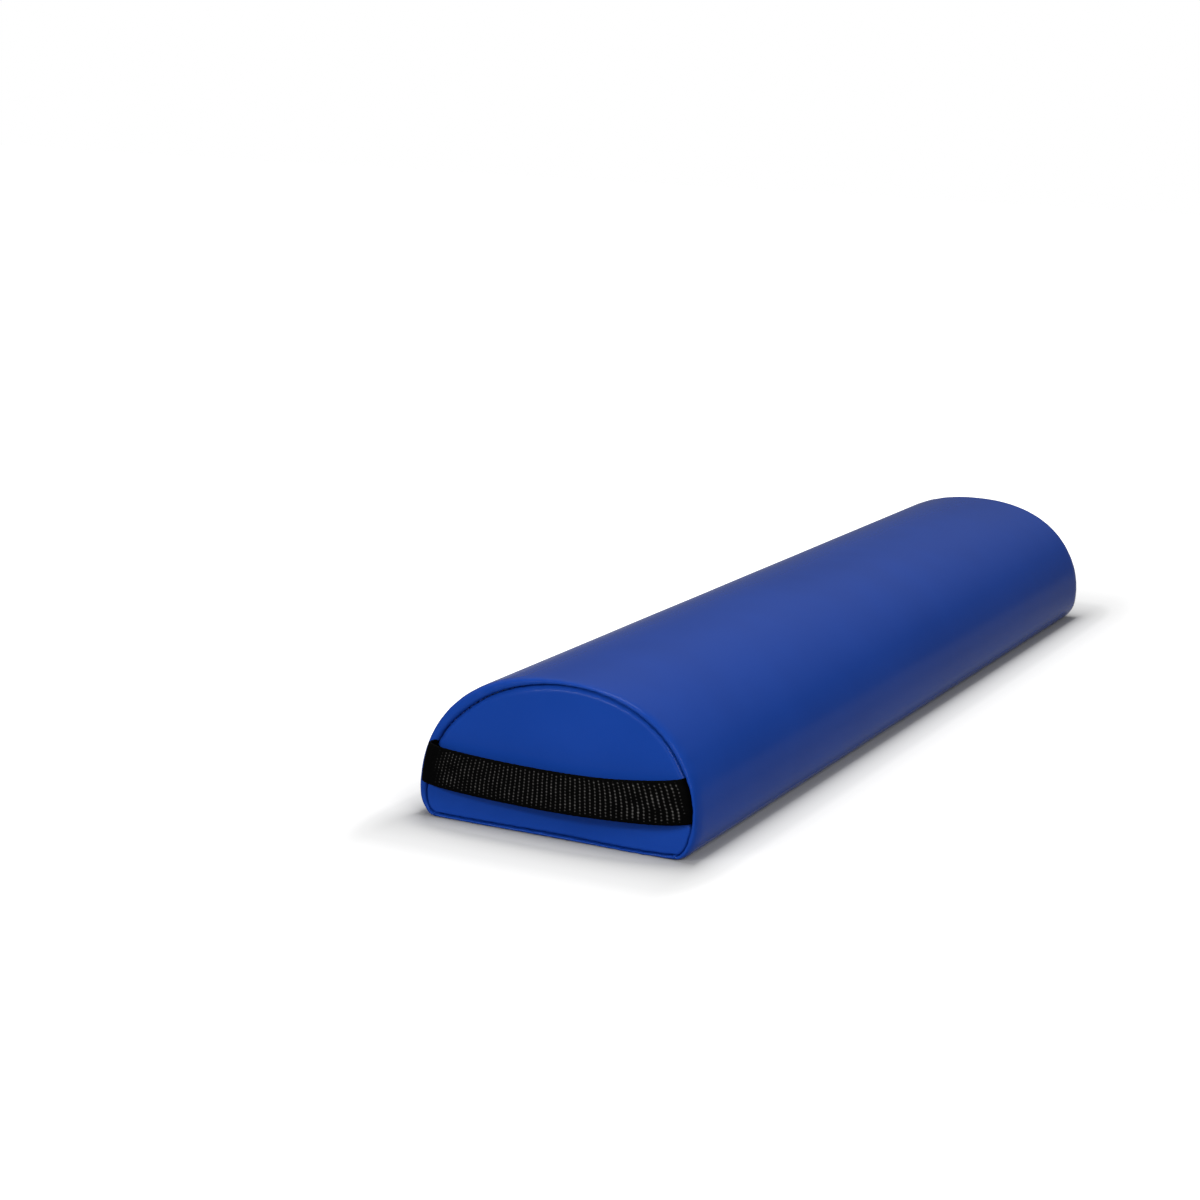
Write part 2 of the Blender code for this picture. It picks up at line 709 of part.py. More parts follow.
def slider(frame, collection, helpers):
    """Return the slider: two plates round the rows, a post, side walls and a bridge."""
    outer_face = SLIDER_OUT
    inner_face = SLIDER_OUT - SLIDER_PLATE
    back_face = TAPE_IN - SLIDER_RUNNING_GAP
    half = SLIDER_LENGTH / 2
    body = add_object("zipper_slider", prism_mesh("slider", slider_plate_outline(), inner_face, outer_face),
                      collection, METAL, smooth=False)
    back = prism_mesh("back_plate", slider_plate_outline(), back_face - SLIDER_PLATE, back_face)
    sunk = 0.1 * SLIDER_PLATE
    post_half = ROW_GAP / 2 - CLEARANCE
    post_low = (-post_half, 0.30 * half, back_face - sunk)
    post_high = (post_half, 0.80 * half, inner_face + sunk)
    shapes = [back, box_mesh("post", post_low, post_high), prism_mesh(
        "bridge", crown_outline(), -CROWN_WIDTH / 2, CROWN_WIDTH / 2, axis="X")]
    wall_out = SLIDER_HALF_WIDTH - SLIDER_TAIL_NARROWING
    wall_in = ROW_GAP / 2 + COIL_WIDTH + SLIDER_RUNNING_GAP
    for side in (-1, 1):
        low_x, high_x = sorted((side * wall_in, side * wall_out))
        shapes.append(box_mesh("wall", (low_x, -0.80 * half, TAPE_OUT + SLIDER_RUNNING_GAP),
                               (high_x, 0.10 * half, inner_face + sunk)))
    for mesh in shapes:
        helper = add_object("slider_" + mesh.name, mesh, helpers, smooth=False)
        hide_helper(helper)
        helper.parent = frame
        helper.location = (0.0, slider_rest(), 0.0)
        join(body, helper)
    body.parent = frame
    body.location = (0.0, slider_rest(), 0.0)
    return body


def tab_outline():
    """Return the pull tab seen flat, from its pivot at the origin towards -Y."""
    neck = CROWN_WIDTH / 2 + CLEARANCE + TAB_ARM
    wide = TAB_WIDTH / 2
    right = [(neck, PIVOT_RADIUS), (neck, -TAB_WINDOW), (wide, -TAB_WINDOW - 0.12 * TAB_LENGTH),
             (wide, -TAB_LENGTH + 0.6 * wide)]
    for step in range(1, 4):
        angle = math.radians(30 * step)
        right.append((wide * math.cos(angle), -TAB_LENGTH + 0.6 * wide - 0.6 * wide * math.sin(angle)))
    return right + [(-x, y) for x, y in reversed(right[:-1])]


def pull_tab(frame, collection, helpers):
    """Return the pull tab, whose pivot bar turns under the slider's bridge."""
    half = TAB_THICKNESS / 2
    tab = add_object("zipper_pull_tab", prism_mesh("pull_tab", tab_outline(), -half, half), collection,
                     METAL, smooth=False)
    window_half_width = CROWN_WIDTH / 2 + CLEARANCE
    window = box_mesh("window", (-window_half_width, -TAB_WINDOW, -TAB_THICKNESS),
                      (window_half_width, 2 * PIVOT_RADIUS, TAB_THICKNESS))
    window_cutter = add_object("tab_window", window, helpers, smooth=False)
    work = bmesh.new()
    bmesh.ops.create_cone(work, cap_ends=True, segments=16, radius1=TAB_HOLE_RADIUS,
                          radius2=TAB_HOLE_RADIUS, depth=4 * TAB_THICKNESS)
    bmesh.ops.translate(work, vec=(0.0, -TAB_LENGTH + TAB_WIDTH / 2, 0.0), verts=work.verts)
    hole = bpy.data.meshes.new("tab_hole")
    work.to_mesh(hole)
    work.free()
    hole_cutter = add_object("tab_hole", hole, helpers, smooth=False)
    work = bmesh.new()
    bmesh.ops.create_cone(work, cap_ends=True, segments=12, radius1=PIVOT_RADIUS,
                          radius2=PIVOT_RADIUS, depth=2 * window_half_width + TAB_ARM)
    bmesh.ops.rotate(work, matrix=Matrix.Rotation(math.radians(90), 3, "Y"), verts=work.verts)
    bar = bpy.data.meshes.new("tab_bar")
    work.to_mesh(bar)
    work.free()
    bar_shape = add_object("tab_bar", bar, helpers, smooth=False)
    cut(tab, window_cutter)
    cut(tab, hole_cutter)
    join(tab, bar_shape)
    for item in (tab, window_cutter, hole_cutter, bar_shape):
        item.parent = frame
        item.location = (0.0, slider_rest(), pivot_height())
    for item in (window_cutter, hole_cutter, bar_shape):
        hide_helper(item)
    return tab


def cut_foam(core, frame, helpers):
    """Cut the room for the turned-in seams and the zipper out of the core."""
    reach = HALF_LENGTH - LIPS_START + CLEARANCE
    deep = LONG_SEAM_ALLOWANCE + CLEARANCE
    half = CLEARANCE / 2 + COVER_THICKNESS + CLEARANCE
    right = add_object("right_seam_slot", box_mesh("slot", (BASE_HALF - half, -reach, -deep),
                                                   (BASE_HALF + half, reach, deep)), helpers, smooth=False)
    across = max(ROW_GAP / 2 + TAPE_WIDTH, ZIPPER_HALF_WINDOW + COVER_THICKNESS) + CLEARANCE
    trench = add_object("zipper_trench", box_mesh("trench", (-across, -reach, TAPE_IN - CLEARANCE),
                                                  (across, reach, 2 * CORNER_RADIUS)), helpers, smooth=False)
    channel_half = SLIDER_HALF_WIDTH + CLEARANCE
    channel_floor = TAPE_IN - SLIDER_RUNNING_GAP - SLIDER_PLATE - CLEARANCE
    channel_low = (-channel_half, CHAIN_FRONT - CLEARANCE, channel_floor)
    channel_high = (channel_half, CHAIN_REAR + CLEARANCE, TAPE_IN)
    channel = add_object("slider_channel", box_mesh("channel", channel_low, channel_high), helpers,
                         smooth=False)
    trench.parent = frame
    channel.parent = frame
    for helper in (right, trench, channel):
        hide_helper(helper)
        cut(core, helper)


def build():
    """Model the bolster."""
    for item in list(bpy.data.objects):
        bpy.data.objects.remove(item, do_unlink=True)
    parts = make_collection("half_round_bolster")
    helpers = make_collection("cutters")
    frame = bpy.data.objects.new("zipper_line", None)
    parts.objects.link(frame)
    frame.matrix_world = zipper_frame()

    core = foam_core(parts)
    cut_foam(core, frame, helpers)
    cover_sheet("arch_cover", arch_ring, parts)
    cover_sheet("base_cover", base_ring, parts)
    front = end_panel("front_end_panel", True, parts)
    end_panel("rear_end_panel", False, parts)
    strap_sheet("handle_strap", 0.0, parts, WEBBING)
    strap_room = strap_sheet("strap_room", 2 * CLEARANCE, helpers, None)
    hide_helper(strap_room)
    cut(front, strap_room)
    tape_and_coil(1, "arch_side", frame, parts)
    tape_and_coil(-1, "base_side", frame, parts)
    stops(frame, parts)
    slider(frame, parts, helpers)
    pull_tab(frame, parts, helpers)


build()
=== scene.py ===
"""Half round bolster: the sewn vinyl cover, the webbing strap and the sunk zipper.

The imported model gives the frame. This script replaces its plain soft solids with
fine surfaces, gives every piece its finish and sets the bolster in a studio.
All sizes are in metres unless a name says otherwise.
"""
import logging
import math
from dataclasses import dataclass, field
from enum import Enum
from functools import cached_property
from typing import Any, Sequence

import bpy
import numpy as np
from bpy.types import Material, Mesh, NodeSocket, NodeTree, World
from mathutils import Matrix, Vector

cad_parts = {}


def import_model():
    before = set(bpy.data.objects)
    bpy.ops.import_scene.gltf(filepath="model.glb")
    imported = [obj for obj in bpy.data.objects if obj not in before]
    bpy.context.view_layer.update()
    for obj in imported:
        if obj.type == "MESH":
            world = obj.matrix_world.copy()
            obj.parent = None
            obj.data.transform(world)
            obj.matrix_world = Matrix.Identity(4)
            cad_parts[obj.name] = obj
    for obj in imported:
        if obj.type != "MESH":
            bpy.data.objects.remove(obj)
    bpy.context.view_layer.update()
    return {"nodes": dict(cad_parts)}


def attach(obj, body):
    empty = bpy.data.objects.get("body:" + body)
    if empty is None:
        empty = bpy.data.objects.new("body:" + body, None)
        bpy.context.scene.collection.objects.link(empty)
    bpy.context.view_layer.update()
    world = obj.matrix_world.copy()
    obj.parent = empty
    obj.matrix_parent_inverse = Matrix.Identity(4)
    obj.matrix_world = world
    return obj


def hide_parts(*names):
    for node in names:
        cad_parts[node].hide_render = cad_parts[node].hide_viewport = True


log = logging.getLogger("bolster")
Array = np.ndarray

MM = 0.001
BODY = "bolster"
WHITE = (1.0, 1.0, 1.0, 1.0)
RIPPLE_SINES = 5
TUBE_SIDES = 6
WAVE_DIVISOR = 6.28  # brings a wave texture's scale near that of a noise
SHADER = "Principled BSDF"
SENSOR_MM = 36.0
UPRIGHT = np.array((0.0, 1.0))  # upwards, in x and z
LENGTHWISE = np.array((0.0, 1.0, 0.0))  # from the strap's end to the rear end


def linear(colour: str) -> tuple[float, ...]:
    """Return an sRGB hex colour, six digits after a hash, as linear red, green, blue and an alpha of 1."""
    parts = (int(colour[place:place + 2], 16) / 255 for place in (1, 3, 5))
    return *(part / 12.92 if part <= 0.04045 else ((part + 0.055) / 1.055) ** 2.4 for part in parts), 1.0


def ease(share: Array) -> Array:
    """Return a smooth step from 0 to 1: 3t^2 - 2t^3, held at its ends."""
    share = np.clip(share, 0.0, 1.0)
    return share * share * (3 - 2 * share)


def between(low: Any, high: Any, share: Any) -> Any:
    """Return the value at a share of the way from low to high."""
    return low + (high - low) * share


def unit(vectors: Array) -> Array:
    """Return vectors divided by their lengths."""
    return vectors / np.maximum(np.linalg.norm(vectors, axis=-1, keepdims=True), 1e-12)


def way_along(points: Array) -> Array:
    """Return each point's distance along the line that joins them: the sum of the steps before it."""
    return np.concatenate(((0.0,), np.cumsum(np.linalg.norm(np.diff(points, axis=0), axis=1))))


def read_columns(wanted: Array, places: Array, values: Array) -> Array:
    """Return each column of values, known at places, at the wanted places: straight between two of them."""
    return np.stack([np.interp(wanted, places, column) for column in values.T], axis=-1)


def in_space(flat: Array, place: Any) -> Array:
    """Return points that are given in x and z as points in space, at a place along the bolster."""
    return np.stack((flat[..., 0], np.broadcast_to(place, flat.shape[:-1]), flat[..., 1]), axis=-1)


def hermite(wanted: Array, places: Array, values: Array, slopes: Array) -> Array:
    """Read a smooth curve.

    Between two places it is the cubic that has the values and the slopes of both.

    Args:
        wanted: Where the curve is read.
        places: The places where it is known, rising.
        values: Its values there, or rows of values.
        slopes: Its slopes there.

    Returns:
        The values at the wanted places.
    """
    index = np.clip(np.searchsorted(places, wanted, side="right") - 1, 0, len(places) - 2)
    shape = wanted.shape + (1,) * (values.ndim - 1)
    gap = (places[index + 1] - places[index]).reshape(shape)
    share = (wanted - places[index]).reshape(shape) / gap
    bend = share * (1 - share) ** 2 * slopes[index] - share ** 2 * (1 - share) * slopes[index + 1]
    return between(values[index], values[index + 1], ease(share)) + gap * bend


def ripple(place: Array, wavelength: float, seed: int) -> Array:
    """Return an uneven wave between about -1 and 1.

    The sum of a few sines, whose wavelengths lie within a third of the one
    given and whose phases come from the seed.

    Args:
        place: Distances at which the wave is read.
        wavelength: The usual distance between crests.
        seed: Picks the wave.

    Returns:
        The wave, in the shape of place.
    """
    chance = np.random.default_rng(seed)
    total = np.zeros_like(place, dtype=float)
    for _ in range(RIPPLE_SINES):
        length = wavelength * chance.uniform(0.72, 1.38)
        total += np.sin(2 * np.pi * place / length + chance.uniform(0, 2 * np.pi))
    return total / math.sqrt(RIPPLE_SINES) / 1.4


def surface_normals(grid: Array) -> Array:
    """Return the unit normals of a grid of points: the cross product of its two slopes."""
    return unit(np.cross(np.gradient(grid, axis=1), np.gradient(grid, axis=0)))


def tube_rings(line: Array, first: Array, second: Array, radius: Any) -> Array:
    """Put a ring of points round each point of a line, at r cos t and r sin t along two unit vectors.

    Args:
        line: Points, with a last axis of 3.
        first: The first unit vector at each point.
        second: The second unit vector at each point.
        radius: The tube's radius.

    Returns:
        The points, with a new axis that runs round each ring.
    """
    turn = np.linspace(0, 2 * np.pi, TUBE_SIDES + 1)[:-1, None]
    spoke = np.cos(turn) * first[..., None, :] + np.sin(turn) * second[..., None, :]
    return line[..., None, :] + radius * spoke


def ring_quads(index: Array) -> Array:
    """Return the quads between neighbouring rings of point numbers, whose last axis runs round a ring."""
    after = np.roll(index, -1, axis=-1)
    corners = (index[..., :-1, :], after[..., :-1, :], after[..., 1:, :], index[..., 1:, :])
    return np.stack(corners, axis=-1).reshape(-1, 4)


class Ends(Enum):
    """How the first and last ring of a tube of rings are closed."""

    FOLD = "each ring is a doubled line, closed across its fold"
    POLE = "each end ring closes on its middle"


def closed_mesh(name: str, rings: Array, ends: Ends, spots: Array | None = None,
                marks: dict[str, Array] | None = None) -> Mesh:
    """Join a stack of closed rings into one closed mesh that faces outwards.

    Args:
        name: The mesh's name.
        rings: Points, as rings x points in a ring x 3.
        ends: How the two ends are closed.
        spots: The place of each point on the cloth, rings x points x 2, kept as a UV map.
        marks: Named values, one for each point, kept as attributes.

    Returns:
        The mesh, shaded smooth.
    """
    rows, count = rings.shape[:2]
    index = np.arange(rows * count).reshape(rows, count)
    quads = ring_quads(index)
    points = rings.reshape(-1, 3)
    triangles = np.zeros((0, 3), dtype=int)
    if ends is Ends.FOLD:
        step = np.arange(count // 2 - 1)
        for ring, turn in ((index[0], 1), (index[-1], -1)):
            cap = np.stack((ring[step + 1], ring[step], ring[count - 1 - step], ring[count - 2 - step]), axis=-1)
            quads = np.concatenate((quads, cap[:, ::turn]))
    else:
        first = len(points)
        points = np.concatenate((points, rings[[0, -1]].mean(axis=1)))
        after = np.roll(index, -1, axis=1)
        start = np.stack((after[0], index[0], np.full(count, first)), axis=-1)
        finish = np.stack((index[-1], after[-1], np.full(count, first + 1)), axis=-1)
        triangles = np.concatenate((start, finish))
    corners = points[quads]
    volume = sum(np.einsum("ij,ij->", corners[:, 0], np.cross(corners[:, turn], corners[:, turn + 1]))
                 for turn in (1, 2))
    if volume < 0:
        quads = quads[:, ::-1]
        triangles = triangles[:, ::-1]
    mesh = bpy.data.meshes.new(name)
    mesh.from_pydata(points.tolist(), [], quads.tolist() + triangles.tolist())
    if spots is not None:
        loops = np.zeros(len(mesh.loops), dtype=int)
        mesh.loops.foreach_get("vertex_index", loops)
        flat = spots.reshape(-1, 2)
        flat = np.concatenate((flat, np.zeros((len(points) - len(flat), 2))))
        mesh.uv_layers.new(name="cloth").data.foreach_set("uv", flat[loops].ravel())
    for key, values in (marks or {}).items():
        padded = np.concatenate((values.ravel(), np.zeros(len(points) - values.size)))
        mesh.attributes.new(key, "FLOAT", "POINT").data.foreach_set("value", padded)
    mesh.shade_smooth()
    return mesh


def sheet_mesh(name: str, outer: Array, thickness: float) -> Mesh:
    """Return the closed mesh of a grid of points, rows x columns x 3, with a thickness behind it."""
    inner = outer - thickness * surface_normals(outer)
    return closed_mesh(name, np.concatenate((outer, inner[:, ::-1]), axis=1), Ends.FOLD)


def add_piece(name: str, mesh: Mesh, material: Material,
              replaced: Sequence[str] = ()) -> bpy.types.Object:
    """Add a finished piece that rides on the bolster.

    Args:
        name: The piece's name.
        mesh: Its mesh, in place.
        material: Its finish.
        replaced: The nodes that it stands for.

    Returns:
        The new object.
    """
    piece = bpy.data.objects.new(name, mesh)
    bpy.context.scene.collection.objects.link(piece)
    mesh.materials.append(material)
    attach(piece, BODY)
    if replaced:
        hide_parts(*replaced)
    log.info("%s: %d faces", name, len(mesh.polygons))
    return piece


def set_node(node: bpy.types.Node, values: dict[str | int, Any]) -> None:
    """Give a node its settings and links.

    Args:
        node: The node.
        values: Values or feeding sockets by input, and values by property.
    """
    for key, value in values.items():
        if isinstance(value, NodeSocket):
            node.id_data.links.new(value, node.inputs[key])
        elif isinstance(key, int) or key in node.inputs:
            node.inputs[key].default_value = value
        else:
            setattr(node, key, value)


def add_node(tree: NodeTree, kind: str, output: str | int,
             values: dict[str | int, Any] | None = None) -> NodeSocket:
    """Add a node with its settings and links.

    Args:
        tree: The tree that it goes into.
        kind: The node's type name, less ShaderNode.
        output: The output that is used.
        values: What set_node gives it.

    Returns:
        The output's socket.
    """
    node = tree.nodes.new("ShaderNode" + kind)
    set_node(node, values or {})
    return node.outputs[output]


def shader_tree(owner: Material | World) -> NodeTree:
    """Switch a material's or the world's nodes on and return their tree."""
    owner.use_nodes = True
    return owner.node_tree


@dataclass(frozen=True)
class Finish:
    """What every finish has: a name, and two colours that a pattern mixes."""

    name: str
    low: str
    high: str

    def pattern(self, tree: NodeTree, place: NodeSocket) -> dict[str, Any]:
        """Return the shader's values and links; its Base Color is the share of the high colour."""
        raise NotImplementedError

    def material(self) -> Material:
        """Build the material: the pattern mixes the two colours and feeds the shader.

        Returns:
            The material.
        """
        material = bpy.data.materials.new(self.name)
        tree = shader_tree(material)
        values = self.pattern(tree, add_node(tree, "TexCoord", "Object"))
        values["Base Color"] = add_node(tree, "Mix", 2, {
            "data_type": "RGBA", 0: values["Base Color"], 6: linear(self.low), 7: linear(self.high)})
        set_node(tree.nodes[SHADER], values)
        return material


@dataclass(frozen=True)
class UpholsteryVinyl(Finish):
    """Calendered PVC on a knitted back, satin, with a fine embossed grain."""

    name: str = "upholstery_vinyl_royal_blue"
    low: str = "#123A8E"
    high: str = "#17419B"
    roughness: float = 0.17
    roughness_spread: float = 0.05
    ior: float = 1.45
    specular: float = 0.068
    grain_mm: float = 1.8  # drawn coarser than the real 0.6 mm, which is finer than a pixel
    crease_mm: float = 0.9  # likewise, the real creases are about 0.3 mm
    mottle_mm: float = 55.0

    def pattern(self, tree: NodeTree, place: NodeSocket) -> dict[str, Any]:
        """Add the grain, a cell pattern with finer noise on it, and a slow noise.

        The slow noise shifts the blue and the gloss a little, as pigment and stretch do.

        Args:
            tree: The material's tree.
            place: The object's coordinates.

        Returns:
            The shader's values and links.
        """
        mottle, crease = (add_node(tree, "TexNoise", "Fac", {
            "Scale": 1000 / size, "Detail": detail, "Vector": place})
            for size, detail in ((self.mottle_mm, 2.0), (self.crease_mm, 1.0)))
        gloss = add_node(tree, "MapRange", "Result", {
            "To Min": self.roughness - self.roughness_spread, "To Max": self.roughness + self.roughness_spread,
            "Value": mottle})
        cells = add_node(tree, "TexVoronoi", "Distance", {
            "feature": "SMOOTH_F1", "Scale": 1000 / self.grain_mm, "Smoothness": 0.6, "Vector": place})
        height = add_node(tree, "Math", "Value", {"operation": "ADD", 0: cells, 1: crease})
        bump = add_node(tree, "Bump", "Normal", {"Strength": 0.10, "Distance": 0.06 * MM, "Height": height})
        return {"Base Color": mottle, "Roughness": gloss, "Normal": bump, "IOR": self.ior,
                "Specular IOR Level": self.specular}


@dataclass(frozen=True)
class PolypropyleneWebbing(Finish):
    """Heavy woven polypropylene, black, with warp floats over matt gaps; the float tops are painted lighter, a
    painted highlight.
    """

    name: str = "polypropylene_webbing_black"
    low: str = "#030303"
    # painted highlight: the colour of the float tops, lighter than the black cloth
    high: str = "#646361"
    filament_mm: float = 0.32

    def pattern(self, tree: NodeTree, place: NodeSocket) -> dict[str, Any]:
        """Paint the float tops lighter, a painted highlight, by the weave attribute that is 1 on their tops, and
        add fine bands for filaments.

        Args:
            tree: The material's tree.
            place: The object's coordinates, not used.

        Returns:
            The shader's values and links.
        """
        weave = add_node(tree, "Attribute", "Fac", {"attribute_name": "weave"})
        # painted highlight: the weave value lightens the float tops
        top = add_node(tree, "MapRange", "Result", {"From Min": 0.22, "From Max": 0.90, "Value": weave})
        cloth = add_node(tree, "UVMap", "UV", {"uv_map": "cloth"})
        bands = add_node(tree, "TexWave", "Fac", {
            "bands_direction": "Y", "Scale": 1000 / self.filament_mm / WAVE_DIVISOR, "Distortion": 1.5,
            "Detail": 2.0, "Vector": cloth})
        bump = add_node(tree, "Bump", "Normal", {"Strength": 0.35, "Distance": 0.05 * MM, "Height": bands})
        return {"Base Color": top, "Roughness": 0.6, "Specular IOR Level": 0.015, "Normal": bump}


@dataclass(frozen=True)
class WovenTape(Finish):
    """Polyester herringbone tape, dyed dark blue, matt."""

    name: str = "polyester_zipper_tape_navy"
    low: str = "#0B1330"
    high: str = "#16224A"
    thread_mm: float = 0.5

    def pattern(self, tree: NodeTree, place: NodeSocket) -> dict[str, Any]:
        """Add crossed bands of thread, which give the colour and the relief.

        Args:
            tree: The material's tree.
            place: The object's coordinates.

        Returns:
            The shader's values and links.
        """
        along, across = (add_node(tree, "TexWave", "Fac", {
            "bands_direction": way, "Scale": 1000 / self.thread_mm / WAVE_DIVISOR, "Vector": place})
            for way in "YX")
        threads = add_node(tree, "Math", "Value", {"operation": "MULTIPLY", 0: along, 1: across})
        bump = add_node(tree, "Bump", "Normal", {"Strength": 0.5, "Distance": 0.08 * MM, "Height": threads})
        return {"Base Color": threads, "Roughness": 0.85, "Specular IOR Level": 0.3, "Normal": bump}


@dataclass(frozen=True)
class NylonCoil(Finish):
    """Extruded nylon monofilament, smooth and a little glossy, with a slow change of dye."""

    name: str = "nylon_coil_navy"
    low: str = "#0D1738"
    high: str = "#182450"

    def pattern(self, tree: NodeTree, place: NodeSocket) -> dict[str, Any]:
        """Return the dye's noise."""
        dye = add_node(tree, "TexNoise", "Fac", {"Scale": 220.0, "Detail": 2.0, "Vector": place})
        return {"Base Color": dye, "Roughness": 0.32}


@dataclass(frozen=True)
class NickelPlate(Finish):
    """Die-cast zinc with bright nickel plate, lightly scuffed by use."""

    name: str = "nickel_plated_zinc"
    low: str = "#C9C6C0"
    high: str = "#A9A6A0"
    scuff_mm: float = 1.6
    edge_mm: float = 0.14

    def pattern(self, tree: NodeTree, place: NodeSocket) -> dict[str, Any]:
        """Return a noise that dulls the polish, and edges that are rounded in the shading."""
        scuff = add_node(tree, "TexNoise", "Fac", {"Scale": 1000 / self.scuff_mm, "Detail": 5.0, "Vector": place})
        return {"Base Color": scuff, "Metallic": 1.0,
                "Roughness": add_node(tree, "MapRange", "Result", {"To Min": 0.20, "To Max": 0.42, "Value": scuff}),
                "Normal": add_node(tree, "Bevel", "Normal", {"samples": 4, "Radius": self.edge_mm * MM})}


@dataclass(frozen=True)
class CutFoam(Finish):
    """Open-cell polyurethane foam, cut with a hot wire, chalky and full of pores."""

    name: str = "polyurethane_foam_cream"
    # painted shadow: the darker colour of the sunk pores
    low: str = "#B9A77C"
    high: str = "#E3D6B4"
    pore_mm: float = 1.4

    def pattern(self, tree: NodeTree, place: NodeSocket) -> dict[str, Any]:
        """Return small round pores that are sunk and painted darker, a painted shadow in each pore."""
        pores = add_node(tree, "TexVoronoi", "Distance", {"Scale": 1000 / self.pore_mm, "Vector": place})
        return {"Base Color": pores, "Roughness": 0.95, "Specular IOR Level": 0.2, "Normal": add_node(
            tree, "Bump", "Normal", {"Strength": 0.6, "Distance": 0.3 * MM, "Height": pores})}


@dataclass(frozen=True)
class SewingThread(Finish):
    """Bonded nylon upholstery thread, blue, with a visible twist."""

    name: str = "bonded_nylon_thread_blue"
    low: str = "#0E2F7C"
    high: str = "#2C58B4"
    twist_mm: float = 0.6

    def pattern(self, tree: NodeTree, place: NodeSocket) -> dict[str, Any]:
        """Return diagonal bands for the twist."""
        twist = add_node(tree, "TexWave", "Fac", {
            "bands_direction": "DIAGONAL", "Scale": 1000 / self.twist_mm / WAVE_DIVISOR, "Vector": place})
        return {"Base Color": twist, "Roughness": 0.38}


@dataclass(frozen=True)
class Section:
    """The length and the D-shaped section: a flat base, tight lower corners and a full crown."""

    length: float = 0.6604
    width: float = 0.1524
    height: float = 0.0780
    widest_height: float = 0.0155
    crown_fullness: float = 2.25
    flank_tuck: float = 0.0106
    flank_pull: float = 0.38
    corner_radius: float = 0.00745
    corner_sweep: float = 46.0
    outline_steps: int = 2400

    @property
    def half_length(self) -> float:
        """Return half the bolster's length."""
        return self.length / 2

    @property
    def base_half(self) -> float:
        """Return half the width of the flat base, which is also the distance round to the right long seam."""
        return self.width / 2 - self.flank_tuck

    @cached_property
    def outline(self) -> tuple[Array, Array, Array]:
        """Lay out the closed outline, anticlockwise from the middle of the base.

        A level line, an arc of the corner's sweep, a cubic to the widest point
        and a superellipse (x/a)^n + (z/b)^n = 1 over the crown, then the mirror.

        Returns:
            The points, their inward normals and their distances round the outline.
        """
        base = np.linspace((0.0, 0.0), (self.base_half, 0.0), 60, endpoint=False)
        angle = np.radians(np.linspace(0, self.corner_sweep, 41) - 90)
        arc = (self.base_half, 0.0) + self.corner_radius * np.stack((np.cos(angle), 1 + np.sin(angle)), axis=-1)
        start = arc[-1]
        ahead = np.array((-math.sin(angle[-1]), math.cos(angle[-1])))
        widest = np.array((self.width / 2, self.widest_height))
        handle = self.flank_pull * np.linalg.norm(widest - start)
        share = np.linspace(0, 1, 40, endpoint=False)[:, None]
        rest = 1 - share
        flank = (rest ** 3 * start + 3 * rest ** 2 * share * (start + handle * ahead)
                 + 3 * rest * share ** 2 * (widest - handle * UPRIGHT) + share ** 3 * widest)
        angle = np.linspace(0, np.pi / 2, 500)
        round_part = np.maximum(np.stack((np.cos(angle), np.sin(angle)), axis=-1), 0) ** (2 / self.crown_fullness)
        crown = (0.0, self.widest_height) + round_part * (self.width / 2, self.height - self.widest_height)
        crown[-1, 0] = 0.0
        right = np.concatenate((base, arc[:-1], flank, crown))
        points = np.concatenate((right, right[-2:0:-1] * (-1, 1), right[:1]))
        distance = way_along(points)
        even = np.linspace(0, distance[-1], self.outline_steps + 1)
        points = read_columns(even, distance, points)
        slope = np.roll(points[:-1], -1, axis=0) - np.roll(points[:-1], 1, axis=0)
        slope = np.concatenate((slope, slope[:1]))
        return points, unit(np.stack((-slope[:, 1], slope[:, 0]), axis=-1)), even

    @property
    def total(self) -> float:
        """Return the length of the whole outline."""
        return float(self.outline[2][-1])

    @property
    def left_seam(self) -> float:
        """Return the distance round to the long seam on the left, which holds the zipper."""
        return self.total - self.base_half

    def read(self, distance: Array) -> tuple[Array, Array]:
        """Read the outline.

        Args:
            distance: Distances round the outline, of any shape.

        Returns:
            The points and the inward normals there, each with a last axis of x and z.
        """
        points, normals, even = self.outline
        wrapped = np.mod(distance, self.total)
        return read_columns(wrapped, even, points), read_columns(wrapped, even, normals)


